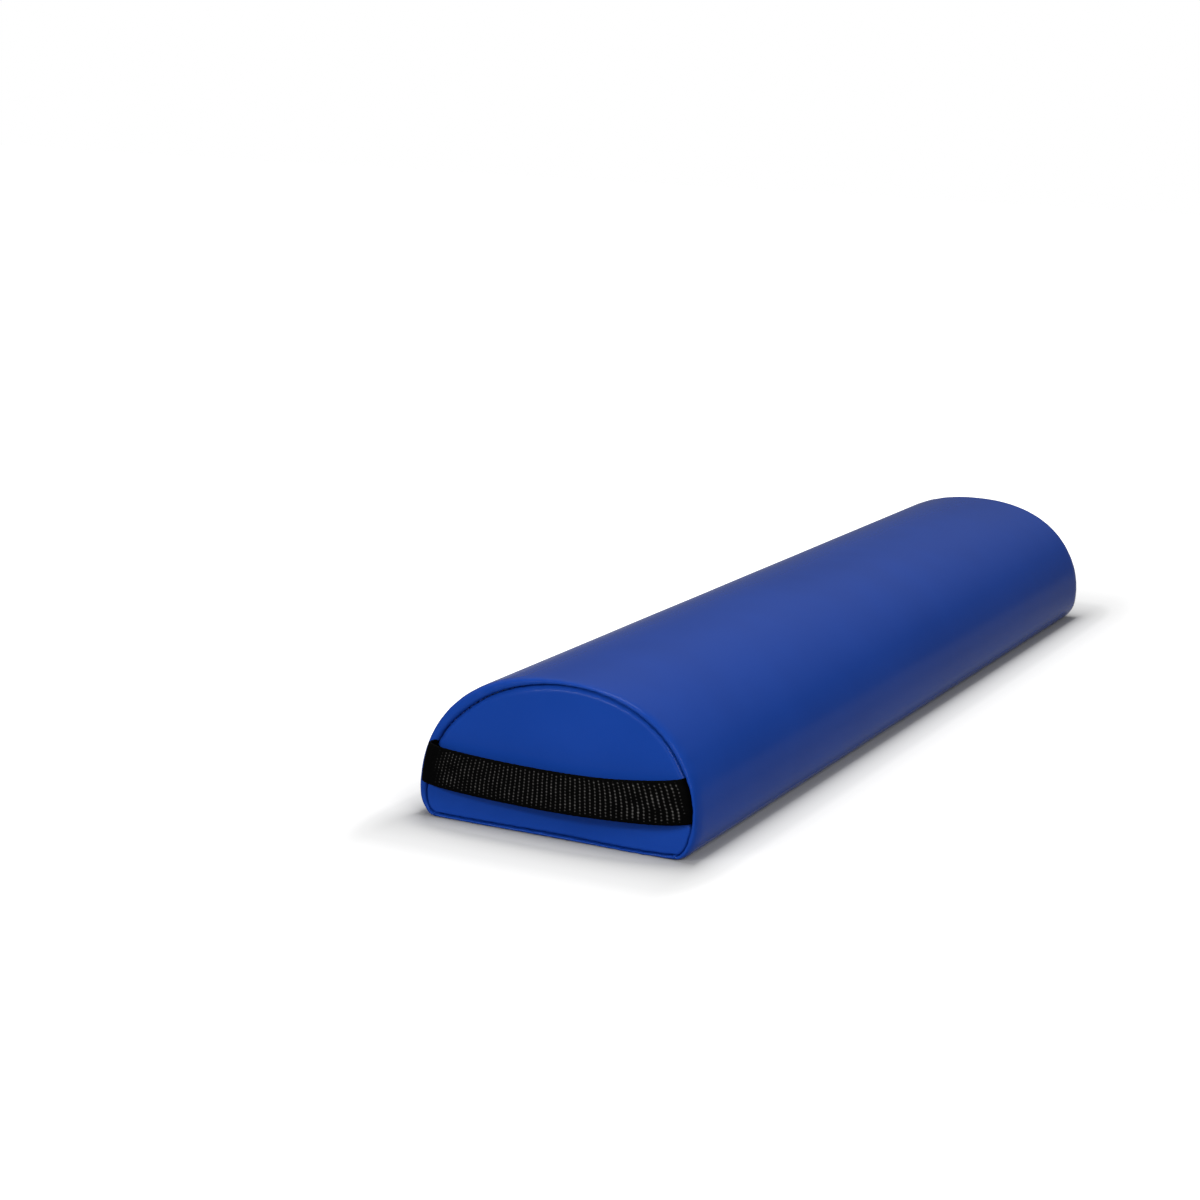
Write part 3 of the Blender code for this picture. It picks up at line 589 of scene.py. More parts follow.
@dataclass(frozen=True)
class EndSeam:
    """The seam round each end, where the rolled rim meets the end panel.

    The widths are those of the rim, from the middle of the base anticlockwise,
    at the shares of the outline that are given beside them.
    """

    section: Section
    depth: float = 0.0110
    inner_share: float = 0.34
    crisp_rounding: float = 0.0060
    soft_rounding: float = 0.0095
    crisp_fullness: float = 2.6
    soft_fullness: float = 2.15
    run_out: float = 0.0116
    lean: float = 0.0056
    lean_length: float = 0.070
    shares: tuple[float, ...] = (0, 0.155, 0.18, 0.205, 0.23, 0.262, 0.30, 0.35, 0.40, 0.45, 0.50,
                                 0.55, 0.60, 0.65, 0.70, 0.75, 0.79, 0.81, 0.825, 0.845)
    widths_mm: tuple[float, ...] = (1.75, 1.7, 2.5, 3.6, 2.6, 2.6, 3.5, 3.2, 2.7, 2.15, 2.3,
                                    3.9, 5.4, 6.4, 5.4, 4.6, 4.1, 2.8, 1.8, 1.6)
    pucker: float = 0.00010
    dent: float = 0.00010

    def width(self, distance: Array) -> Array:
        """Return how far the seam lies inside the outline.

        It passes smoothly through the widths, and sewing makes it waver.

        Args:
            distance: Distances round the outline.

        Returns:
            The widths of the rim.
        """
        total = self.section.total
        places = np.array(self.shares + (1.0,)) * total
        values = np.array(self.widths_mm + self.widths_mm[:1]) * MM
        slopes = np.gradient(np.concatenate((values[-2:-1], values, values[1:2])),
                             np.concatenate((places[-2:-1] - total, places, total + places[1:2])))[1:-1]
        wrapped = np.mod(distance, total)
        return hermite(wrapped, places, values, slopes) + self.pucker * ripple(wrapped, 7.5 * MM, seed=3)

    def place(self, front: bool, height: Array, depth: Any) -> Array:
        """Return places along the bolster.

        The front end leans back by lean z / H, which fades to nothing deep in the body.

        Args:
            front: Whether they are measured from the front end, and not from the rear one.
            height: Heights above the base.
            depth: Depths from that end.

        Returns:
            The places.
        """
        if not front:
            return self.section.half_length - depth
        lean = self.lean * height / self.section.height * (1 - ease(depth / self.lean_length))
        return depth + lean - self.section.half_length

    def rim(self, distance: Array) -> tuple[Array, Array]:
        """Work out the rolled rim, from its hidden edge outwards.

        A straight allowance, a quarter circle up to the crest, and a quarter of a
        superellipse from the crest to the body. Its rounding is long and soft on
        the right flank and short and crisp elsewhere.

        Args:
            distance: Distances round the outline, one for each column.

        Returns:
            The depth from the end and the inset, each as stations x columns.
        """
        width = self.width(distance)
        radius = self.inner_share * width
        crest = width - radius
        share = np.mod(distance, self.section.total) / self.section.total
        soft = ease((share - 0.155) / 0.06) * ease((0.40 - share) / 0.12)
        rounding = between(self.crisp_rounding, self.soft_rounding, soft)
        power = 2 / between(self.crisp_fullness, self.soft_fullness, soft)
        hidden = np.linspace(1, 0, 7)[:-1, None]
        inner = np.radians(np.linspace(90, 0, 10))[:-1, None]
        outer = np.radians(np.linspace(0, 90, 27))[:, None]
        step = np.linspace(0, 1, 4)[1:, None]
        depth = np.concatenate((between(radius, self.depth, hidden), radius * (1 - np.cos(inner)),
                                rounding * (1 - np.cos(outer) ** power), between(rounding, self.run_out, step)))
        inset = np.concatenate((width + 0 * hidden, crest + radius * np.sin(inner),
                                crest * (1 - np.sin(outer) ** power), 0 * (width + step)))
        dent = self.dent * (1 + ripple(distance, 11 * MM, seed=8))
        return depth + dent * np.exp(-depth / (3 * MM)), inset


@dataclass(frozen=True)
class ZipperSeam:
    """Where the left long seam opens for the zipper, and how its lips lie."""

    section: Section
    tilt: float = 15.0
    end_distance: float = 0.0450
    taper: float = 0.0100
    half_window: float = 0.0050
    tape_out: float = -0.0064
    tape_room: float = 0.0003
    gap: float = 0.00015

    @property
    def inward(self) -> Array:
        """Return the direction into the seam, in x and z."""
        turn = math.radians(self.tilt)
        return np.array((math.sin(turn), math.cos(turn)))

    @property
    def origin(self) -> Array:
        """Return the middle of the seam, in x and z."""
        return np.array((-self.section.base_half, 0.0))

    def openness(self, end_distance: Array) -> Array:
        """Return 1 where the seam is open and 0 near the ends."""
        return ease((end_distance - self.end_distance) / self.taper)

    def opening(self, end_distance: Array) -> Array:
        """Return half the seam's opening at distances from the nearer end."""
        return between(self.gap, self.half_window, self.openness(end_distance))

    def lip(self, corner: Array, end_distance: Array, closed: float) -> Array:
        """Return how long the lip of an edge is: down to the tapes in the open seam, and else the closed length."""
        down = -self.tape_out - self.tape_room - (corner - self.origin) @ self.inward
        return between(closed, down, self.openness(end_distance))


@dataclass(frozen=True)
class LongEdge:
    """A long edge of a cover panel: its distance round in each row, and the way it turns in."""

    distance: Array
    inward: Array
    at_zipper: bool


@dataclass
class Cover:
    """The four vinyl panels of the cover."""

    section: Section
    seam: EndSeam
    zipper: ZipperSeam
    vinyl: Material
    thickness: float = 0.0009
    fold: float = 0.0011
    rim_fold: float = 0.00035
    closed_lip: float = 0.0045
    rim_lip: float = 0.0005
    floor_gap: float = 0.00002
    body_step: float = 0.0055
    pucker: float = 0.00010
    stretch: float = 0.00010
    panel_gap: float = 0.00022
    low_roll: float = 0.0016
    high_roll: float = 0.0036
    pinch: float = 0.00035
    panel_face_depth: float = 0.0010
    panel_crown: float = 0.0016
    panel_wave: float = 0.00012
    midline_height: float = 0.0260
    midline_setback: float = 0.0200
    strap_low: float = 0.0185
    strap_high: float = 0.0385
    strap_room: float = 0.0020

    def rows(self, distance: Array) -> tuple[Array, Array, Array]:
        """Lay out the rows of a long panel from the front end to the rear end.

        Args:
            distance: Distances round the outline, one for each column.

        Returns:
            Each point's place along the bolster, its inset, and its distance from the nearer end.
        """
        depth, inset = self.seam.rim(distance)
        height = self.section.read(distance)[0][:, 1]
        half = self.section.half_length
        count = int((half - self.seam.run_out) / self.body_step)
        run = np.linspace(self.seam.run_out, half, count + 1)[1:, None]
        front = np.concatenate((depth, np.broadcast_to(run, (count, len(distance)))))
        rear = front[-2::-1]
        inset = np.concatenate((inset, np.zeros((count, len(distance)))))
        place = np.concatenate((self.seam.place(True, height, front), self.seam.place(False, height, rear)))
        return place, np.concatenate((inset, inset[-2::-1])), np.concatenate((front, rear))

    def openness(self, inset: Array) -> Array:
        """Return 1 where the long seams have their full fold and 0 where the rim crushes them."""
        return 1 - ease(inset / (0.3 * MM))

    def fold_in(self, corner: Array, before: Array, inward: Array, fold: Array,
                lip: Array) -> Array:
        """Turn an edge inwards: a quarter turn of the fold's radius and then a straight lip.

        Args:
            corner: Where the two directions meet, in x and z, one for each row.
            before: The surface one fold radius before the corner.
            inward: The direction of the lip.
            fold: The fold's radius, one for each row.
            lip: The lip's length, one for each row.

        Returns:
            Points from the surface to the lip's edge, rows x 10 x 2.
        """
        along = (corner - before)[:, None]
        corner = corner[:, None]
        fold = fold[:, None, None]
        turn = np.linspace(0, np.pi / 2, 7)[1:, None]
        arc = corner - along * (1 - np.sin(turn)) + fold * (1 - np.cos(turn)) * inward
        reach = np.maximum(lip[:, None, None], 1.3 * fold)
        share = np.linspace(0, 1, 5)[1:, None]
        return np.concatenate((arc, corner + between(fold, reach, share) * inward), axis=1)

    def long_panel(self, name: str, node: str, edges: tuple[LongEdge, LongEdge], columns: Array) -> None:
        """Build a panel that runs the length of the bolster, with both long edges turned in.

        A point is the outline at its distance, moved in by the rim's inset there.
        Slow waves of stretch and small puckers beside the end seams are added
        along the normal. The flat base stays just above the floor.

        Args:
            name: The piece's name.
            node: The node that it stands for.
            edges: Its first edge and its last one.
            columns: Shares from the first edge to the last, from 0 to 1.
        """
        start, stop = (edge.distance for edge in edges)
        place, inset, end_distance = self.rows(between(start.mean(), stop.mean(), columns))
        shares = [self.openness(inset[:, column]) for column in (0, -1)]
        folds = [between(self.rim_fold, self.fold, share) for share in shares]
        distance = between((start + folds[0])[:, None], (stop - folds[1])[:, None], columns)
        point, normal = self.section.read(distance)
        fade = np.exp(-np.maximum(end_distance - 2 * MM, 0) / (7 * MM))
        pucker = -self.pucker * fade * (1 + ripple(distance, 9 * MM, seed=21))
        stretch = self.stretch * ripple(place, 170 * MM, seed=5) * ripple(distance, 70 * MM, seed=6)
        beside = np.minimum(columns, 1 - columns) * (stop - start)[:, None]
        inner = ease(beside / (12 * MM)) * ease((end_distance - 1 * MM) / (4 * MM))
        flat = point + (inset - (pucker + stretch) * inner)[..., None] * normal
        flat[..., 1] = np.maximum(flat[..., 1], self.floor_gap)
        lips = []
        for edge, column, share, fold in zip(edges, (0, -1), shares, folds):
            corner, corner_normal = self.section.read(edge.distance)
            corner = corner + inset[:, column, None] * corner_normal
            corner[:, 1] = np.maximum(corner[:, 1], self.floor_gap)
            lip = np.full(len(corner), self.closed_lip)
            if edge.at_zipper:
                lip = self.zipper.lip(corner, end_distance[:, column], self.closed_lip)
            lip = between(self.rim_lip, lip, share)
            lips.append(self.fold_in(corner, flat[:, column], edge.inward, fold, lip))
        flat = np.concatenate((lips[0][:, ::-1], flat, lips[1]), axis=1)
        spare = lips[0].shape[1]
        outer = in_space(flat, np.pad(place, ((0, 0), (spare, spare)), mode="edge"))
        piece = add_piece(name, sheet_mesh(name, outer[:, ::-1], self.thickness), self.vinyl, (node,))

    def long_panels(self) -> None:
        """Build the arch panel and the flat one underneath, which meet at the right seam and the zipper."""
        section = self.section
        ends = self.rows(np.array((section.total / 2,)))[2][:, 0]
        right = np.full(len(ends), section.base_half)
        gap = self.panel_gap / 2
        opening = self.zipper.opening(ends)
        inward = self.zipper.inward
        near = np.linspace(0, 0.09, 22)
        columns = np.concatenate((near, np.linspace(0.09, 0.91, 150)[1:-1], 1 - near[::-1]))
        self.long_panel("arch_panel", "arch_cover", (
            LongEdge(right + gap, UPRIGHT, False), LongEdge(section.left_seam - opening, inward, True)), columns)
        self.long_panel("base_panel", "base_cover", (
            LongEdge(section.left_seam + opening - section.total, inward, True),
            LongEdge(right - gap, UPRIGHT, False)), np.linspace(0, 1, 90))

    def end_panel(self, name: str, front: bool, node: str) -> None:
        """Build an end panel: an allowance in the seam, a rounded edge and a crowned face.

        The edge is a quarter circle from the seam to the face, fuller at the top.
        The face closes in on the middle of the section and rises by crown (1 - s^2)^2,
        where s is the share of the way out from the middle, with slow waves of stretch.

        Args:
            name: The piece's name.
            front: Whether it is at the strap's end.
            node: The node that it stands for.
        """
        distance = np.linspace(0, self.section.total, 361)[:-1]
        point, normal = self.section.read(distance)
        height = point[:, 1]
        inset = self.seam.width(distance) + self.panel_gap
        if front:
            top = self.strap_high + np.where(point[:, 0] < 0, 0.2, 1.1) * MM
            held = ease((height - self.strap_low + 2.2 * MM) / (2 * MM)) * ease((top - height) / (0.9 * MM))
            inset = inset + self.strap_room * held
        rim = point + inset[:, None] * normal
        line_half = self.section.base_half - self.midline_setback
        target = np.stack((np.clip(rim[:, 0], -line_half, line_half), 0 * height + self.midline_height), axis=-1)
        roll = between(self.low_roll, self.high_roll, ease((height - 5 * MM) / (50 * MM)))
        start = self.panel_face_depth + roll
        step = np.linspace(1, 0, 6)[:-1, None]
        angle = np.radians(np.linspace(0, 90, 17))[:, None]
        share = np.linspace(1, 0.02, 34)[1:, None]
        edge = rim + (roll * (1 - np.cos(angle)))[..., None] * unit(target - rim)
        face = between(self.midline_height * UPRIGHT, edge[-1], share[..., None])
        pinch = self.pinch * (1 + 0.5 * ripple(distance, 8 * MM, seed=31))
        wave = self.panel_wave * ripple(face[..., 0], 60 * MM, seed=41) * ripple(face[..., 1], 45 * MM, seed=42)
        flat = np.concatenate((rim + 0 * step[..., None], edge, face))
        depth = np.concatenate((
            between(start, self.seam.depth, step),
            start - roll * np.sin(angle) + pinch * np.cos(angle) ** 2 * np.sin(angle),
            self.panel_face_depth - self.panel_crown * (1 - share ** 2) ** 2
            + wave * (1 - share ** 6) * ease(share / 0.3)))
        outer = in_space(flat, self.seam.place(front, flat[..., 1], depth))
        looped = np.concatenate((outer[:, -1:], outer, outer[:, :1]), axis=1)
        inner = outer + (-1 if front else 1) * self.thickness * surface_normals(looped)[:, 1:-1]
        mesh = closed_mesh(name, np.concatenate((inner[::-1], outer)), Ends.POLE)
        piece = add_piece(name, mesh, self.vinyl, (node,))


@dataclass
class CarryStrap:
    """The webbing strap across the front end, sewn into the end seam at both sides.

    Its line gives the place across, how far it stands in front of the end and how
    far it sags or rises, in millimetres from left to right. It leaves the left
    seam over the rim, bows forwards, and lies close to the panel at the right.
    """

    section: Section
    seam: EndSeam
    webbing: Material
    width: float = 0.0200
    thickness: float = 0.0015
    centre_height: float = 0.0285
    line_mm: tuple[tuple[float, float, float], ...] = (
        (-69.7, -9.0, 0.3), (-69.7, -4.8, 0.3), (-70.0, -2.6, 0.5), (-70.6, -1.2, 0.5), (-70.9, 0.4, 0.4),
        (-70.2, 2.2, 0.3), (-66.8, 4.4, 0.1), (-59.5, 6.7, -0.2), (-49.0, 8.5, -0.4), (-34.0, 9.8, -0.8),
        (-15.0, 10.5, -1.2), (5.0, 10.6, -1.4), (22.0, 10.0, -1.3), (36.0, 8.7, -1.0), (48.0, 6.7, -0.6),
        (58.0, 4.1, -0.2), (66.0, 1.3, 0.4), (70.6, -1.6, 0.9), (71.6, -4.8, 1.0), (71.6, -9.0, 1.0))
    rib_pitch: float = 0.00248
    rib_spread: float = 0.11
    rib_lean: float = 0.15
    sway: float = 0.00020
    float_pitch: float = 0.00153
    relief: float = 0.00026
    flare: float = 0.07
    left_slant: float = 0.6
    waver: float = 0.00005
    step: float = 0.00036

    def reach(self, height: Array, side: int) -> Array:
        """Return how far out the strap's middle lies in the seam.

        Args:
            height: Heights above the base.
            side: 1 for the right and -1 for the left.

        Returns:
            The distances from the middle of the bolster.
        """
        first = self.section.base_half if side > 0 else self.section.left_seam
        distance = np.linspace(first + side * 4 * MM, self.section.total / 2, 400)
        point, normal = self.section.read(distance)
        inset = self.seam.width(distance) + 0.2 * MM + self.thickness / 2
        moved = point + inset[:, None] * normal
        return np.interp(height, moved[:, 1], np.abs(moved[:, 0]))

    def line(self) -> Array:
        """Carry a smooth curve through the strap's line.

        Between two points it is a cubic whose slopes come from their neighbours,
        and it is divided again into even steps.

        Returns:
            Points along the strap as place across, distance in front and rise.
        """
        points = np.array(self.line_mm) * MM
        way = way_along(points[:, :2])
        fine = np.linspace(0, way[-1], int(way[-1] / self.step) * 4)
        curve = hermite(fine, way, points, np.gradient(points, way, axis=0))
        passed = way_along(curve[:, :2])
        return read_columns(np.arange(0, passed[-1], self.step), passed, curve)

    def weave(self, along: Array, across: Array) -> Array:
        """Return the height of the weave from 0 in the gaps to 1 on top of a float.

        Each rib is a column of rounded floats, and every other rib is shifted by
        half a float: exp(-(s/a)^2 - (z/b)^2) round the middle of each. The ribs
        lie closer at the left, lean a little towards the middle and sway, and the
        floats differ a little in height.

        Args:
            along: Places along the strap.
            across: Places across the strap.

        Returns:
            The heights.
        """
        share = 2 * along / along.max() - 1
        lean = -self.rib_lean * share
        even = along.max() / (2 * self.rib_spread) * np.log(1 + self.rib_spread * share)
        sway = self.sway * (ripple(across + 0.3 * along, 17 * MM, seed=51) + ripple(along, 30 * MM, seed=52))
        rib = (even - lean * across + sway) / self.rib_pitch
        column = np.floor(rib)
        beside = (rib - column - 0.5) * self.rib_pitch
        drift = 0.25 * MM * ripple(along, 14 * MM, seed=53)
        over = (across + drift) / self.float_pitch + 0.5 * np.mod(column, 2)
        row = np.floor(over)
        over = (over - row - 0.5) * self.float_pitch
        uneven = 0.82 + 0.18 * np.sin(7.1 * column + 3.7 * row) * np.sin(2.3 * column - 5.9 * row)
        dots = uneven * np.exp(-(beside / (0.50 * MM)) ** 2 - (over / (0.34 * MM)) ** 2)
        return np.maximum(dots, 0.33 * np.exp(-(beside / (0.55 * MM)) ** 2))

    def build(self) -> None:
        """Build the strap as one closed band with its weave in relief.

        The cross-section is a flat band with half-round selvedges, and it is
        carried along the line. The relief is strongest in the middle and fades
        where the ends are drawn into the seam. The weave attribute paints the
        float tops lighter where the relief is high, a painted highlight.
        """
        line = self.line()
        flat = np.linspace(-1, 1, 66)
        turn = np.linspace(-np.pi / 2, np.pi / 2, 9)[1:-1]
        radius = self.thickness / 2
        half = self.width / 2 - radius
        ring_z, ring_out = (np.concatenate((face, selvedge, -face, -selvedge)) for face, selvedge in (
            (flat * half, half + radius * np.cos(turn)), (np.ones(66), -np.sin(turn))))
        along = np.arange(len(line))[:, None] * self.step
        middle, out, rise = line[:, :1], line[:, 1:2], line[:, 2:]
        height = self.centre_height + ring_z * (1 + self.flare * ease((middle - 25 * MM) / (45 * MM))) + rise
        centre = np.array((self.centre_height,))
        right, left = (self.reach(height, side) / self.reach(centre, side) for side in (1, -1))
        across = middle * np.where(middle > 0, right, 1 + self.left_slant * (left - 1))
        place = self.seam.place(True, ring_z, 0.0) - out
        slope_x = np.gradient(across, axis=0)
        slope_y = np.gradient(place, axis=0)
        size = np.hypot(slope_x, slope_y)
        end_left = ease((along - 15 * MM) / (12 * MM))
        end_right = ease((along[-1] - 8 * MM - along) / (4 * MM))
        edge = np.abs(ring_z / half) ** np.where(ring_z > 0, 24, 8)
        relief = self.weave(along, ring_z[None, :]) * between(0.12, 1, end_left) * between(0.30, 1, end_right)
        relief = relief * (1 - 0.9 * np.minimum(edge, 1))
        offset = ring_out * (radius + self.relief * relief)
        waver = self.waver * ripple(along, 3.4 * MM, seed=61) * np.minimum(edge, 1.2) * np.sign(ring_z)
        points = np.stack((across + slope_y / size * offset, place - slope_x / size * offset, height + waver),
                          axis=-1)
        spots = np.stack(np.broadcast_arrays(along, ring_z), axis=-1)
        # painted highlight on the float tops: lighter where the relief is high and on the faces more than round the
        # selvedges, brighter towards the right end and in random patches, with the selvedges a little lighter
        patch = ripple(along, 22 * MM, seed=54) * ripple(ring_z + 40 * MM, 13 * MM, seed=55)
        bright = (0.84 + 0.08 * ease((along - 20 * MM) / (95 * MM))) * (1 + 0.30 * patch)
        painted_float_glint = relief * ring_out ** 2 * bright + 0.07 * np.minimum(edge, 1)
        mesh = closed_mesh("carry_strap", points, Ends.POLE, spots, {"weave": painted_float_glint})
        add_piece("carry_strap", mesh, self.webbing, ("handle_strap",))


@dataclass
class Stitching:
    """The lockstitch at the bottom of the end seams."""

    section: Section
    seam: EndSeam
    thread: Material
    pitch: float = 0.0034
    stitch: float = 0.0026
    radius: float = 0.00028
    inset: float = 0.00012
    depth: float = 0.0041
    dip: float = 0.0005

    def build(self, name: str, front: bool) -> None:
        """Build one row of stitches: each a short capsule that dips into its holes.

        Args:
            name: The piece's name.
            front: Whether it is at the strap's end.
        """
        count = int(self.section.total / self.pitch)
        share = np.linspace(-1, 1, 7)
        distance = np.arange(count)[:, None] * self.section.total / count + share * self.stitch / 2
        point, normal = self.section.read(distance)
        line = point + (self.seam.width(distance) + self.inset)[..., None] * normal
        centre = in_space(line, self.seam.place(front, line[..., 1], self.depth + self.dip * share ** 4))
        radius = self.radius * np.sqrt(np.maximum(1 - share ** 6, 0.04))
        rings = tube_rings(centre, in_space(-normal, 0.0), LENGTHWISE, radius[:, None, None])
        index = np.arange(rings.size // 3).reshape(rings.shape[:-1])
        caps = np.concatenate((index[:, 0, ::-1], index[:, -1]))
        mesh = bpy.data.meshes.new(name)
        mesh.from_pydata(rings.reshape(-1, 3).tolist(), [], ring_quads(index).tolist() + caps.tolist())
        mesh.shade_smooth()
        add_piece(name, mesh, self.thread)


@dataclass
class Zipper:
    """The zipper in the left long seam: tapes, coils, stops, slider and pull tab."""

    zipper: ZipperSeam
    tape: Material
    coil: Material
    metal: Material
    chain_front: float = -0.2560
    chain_rear: float = 0.2716
    inner: float = 0.0006
    width: float = 0.0025
    height: float = 0.0019
    seat: float = -0.00615
    pitch: float = 0.0014
    wire: float = 0.00031
    turn_points: int = 12

    def placed(self, local: Array) -> Array:
        """Turn points from across, along and out of the seam into the bolster's frame."""
        out = in_space(-self.zipper.inward, 0.0)
        return in_space(self.zipper.origin, 0.0) + local @ np.stack((np.cross(LENGTHWISE, out), LENGTHWISE, out))

    def coil_row(self, side: int, word: str) -> None:
        """Build one row: a wire wound on a flattened oval, with its nose towards the other row.

        The centre line is a helix: an oval of the row's width and height in the
        plane across the seam, and the pitch along it.

        Args:
            side: 1 for the arch and -1 for the base.
            word: The end of the piece's name.
        """
        turns = (self.chain_rear - self.chain_front - 2 * self.wire) / self.pitch
        angle = np.linspace(0, 2 * np.pi * turns, int(turns * self.turn_points))
        half_width = self.width / 2 - self.wire
        half_height = self.height / 2 - self.wire
        phase = angle + (np.pi if side < 0 else 0.0)
        across = side * (self.inner + self.width / 2 - half_width * np.cos(phase))
        out = self.seat + self.height / 2 + half_height * np.sin(phase)
        along = self.chain_front + self.wire + self.pitch * angle / (2 * np.pi)
        line = np.stack((across, along, out), axis=-1)
        ahead = unit(np.gradient(line, axis=0))
        first = unit(np.cross(ahead, LENGTHWISE))
        rings = self.placed(tube_rings(line, first, np.cross(ahead, first), self.wire))
        name = "coil_row_" + word
        add_piece(name, closed_mesh(name, rings, Ends.POLE), self.coil, ("zipper_coil_" + word,))

    def build(self, nodes: dict[str, bpy.types.Object]) -> None:
        """Dress the metal pieces and the tapes, and build the two coil rows.

        Args:
            nodes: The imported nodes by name.
        """
        for side, word in ((1, "arch_side"), (-1, "base_side")):
            self.coil_row(side, word)
        for name, node in nodes.items():
            finish = self.tape if name.startswith("zipper_tape") else self.metal
            if name.startswith("zipper") and not name.startswith("zipper_coil"):
                node.data.materials.clear()
                node.data.materials.append(finish)
                log.info("%s: dressed", name)


@dataclass
class FoamCore:
    """The block of foam inside the cover."""

    section: Section
    seam: EndSeam
    zipper: ZipperSeam
    foam: Material
    inset: float = 0.0014
    middle_height: float = 0.030
    face_depth: float = 0.0060
    shoulder_depth: float = 0.0160
    shoulder_inset: float = 0.0085
    trench: float = 0.0105
    trench_half: float = 0.0088
    slot: float = 0.0060
    slot_half: float = 0.0015

    def build(self) -> None:
        """Build the block: the section drawn in, with a trench for the zipper and narrower ends.

        Each point is the outline moved in by the inset. Near the zipper it is moved
        on along the seam's own direction by a smooth trench, and near the right
        seam upwards by a narrow slot.
        """
        distance = np.linspace(0, self.section.total, 321)[:-1]
        point, normal = self.section.read(distance)
        trench, slot = (depth * ease((half + flank - np.abs(distance - seam)) / flank)[:, None]
                        for depth, half, flank, seam in (
                            (self.trench, self.trench_half, 5 * MM, self.section.left_seam),
                            (self.slot, self.slot_half, 2 * MM, self.section.base_half)))
        body = point + self.inset * normal + trench * self.zipper.inward + slot * UPRIGHT
        middle = self.middle_height * UPRIGHT
        drawn = self.shoulder_inset * unit(middle - body)
        face = np.linspace(0.05, 1, 8)[:, None]
        shoulder = np.linspace(0, 1, 9)[1:, None]
        run = np.linspace(self.shoulder_depth, self.section.half_length, 30)[1:, None]
        flat = np.concatenate((between(middle, body + drawn, face[..., None]),
                               body + (1 - ease(shoulder[..., None])) * drawn, body + 0 * run[..., None]))
        depth = np.concatenate((self.face_depth + 0 * face,
                                between(self.face_depth, self.shoulder_depth, shoulder), run))
        front, rear = (in_space(flat, self.seam.place(at_front, flat[..., 1], depth))
                       for at_front in (True, False))
        mesh = closed_mesh("foam_block", np.concatenate((front, rear[-2::-1])), Ends.POLE)
        piece = add_piece("foam_block", mesh, self.foam, ("foam_core",))


@dataclass(frozen=True)
class Softbox:
    """One soft studio lamp."""

    name: str
    place: tuple[float, float, float]
    target: tuple[float, float, float]
    size: tuple[float, float]
    power: float

    def build(self) -> None:
        """Hang the lamp and point it at its target."""
        lamp = bpy.data.lights.new(self.name, "AREA")
        lamp.shape = "RECTANGLE"
        lamp.size, lamp.size_y = self.size
        lamp.energy = self.power
        item = bpy.data.objects.new(self.name, lamp)
        bpy.context.scene.collection.objects.link(item)
        aim = Vector(self.target) - Vector(self.place)
        item.matrix_world = Matrix.Translation(self.place) @ aim.to_track_quat("-Z", "Y").to_matrix().to_4x4()


@dataclass(frozen=True)
class PhotoCamera:
    """The photograph's camera, as it was fitted to the bolster's edges."""

    azimuth: float = 25.722
    elevation: float = 11.994
    roll: float = 2.063
    distance: float = 1.2313
    focal_px: float = 2525.9
    frame_px: float = 1200.0
    shift_right: float = 0.02369
    shift_up: float = 0.11626
    front: float = -0.3302

    def build(self) -> None:
        """Set up the camera.

        It stands back from the middle of the base's front edge along its own line
        of sight, and is moved sideways and up in its own plane.
        """
        turn, lift, roll = (math.radians(angle) for angle in (self.azimuth, self.elevation, self.roll))
        back = Vector((math.sin(turn) * math.cos(lift), -math.cos(turn) * math.cos(lift), math.sin(lift)))
        level = Vector((math.cos(turn), math.sin(turn), 0.0))
        upright = back.cross(level)
        right = level * math.cos(roll) + upright * math.sin(roll)
        upwards = upright * math.cos(roll) - level * math.sin(roll)
        place = Vector((0, self.front, 0)) + back * self.distance
        place += right * self.shift_right + upwards * self.shift_up
        data = bpy.data.cameras.new("photo_camera")
        data.sensor_width = data.sensor_height = SENSOR_MM
        data.lens = self.focal_px * SENSOR_MM / self.frame_px
        data.clip_start = 0.01
        data.clip_end = 50.0
        camera = bpy.data.objects.new("photo_camera", data)
        bpy.context.scene.collection.objects.link(camera)
        turned = Matrix((right, upwards, back)).transposed().to_4x4()
        camera.matrix_world = Matrix.Translation(place) @ turned
        bpy.context.scene.camera = camera


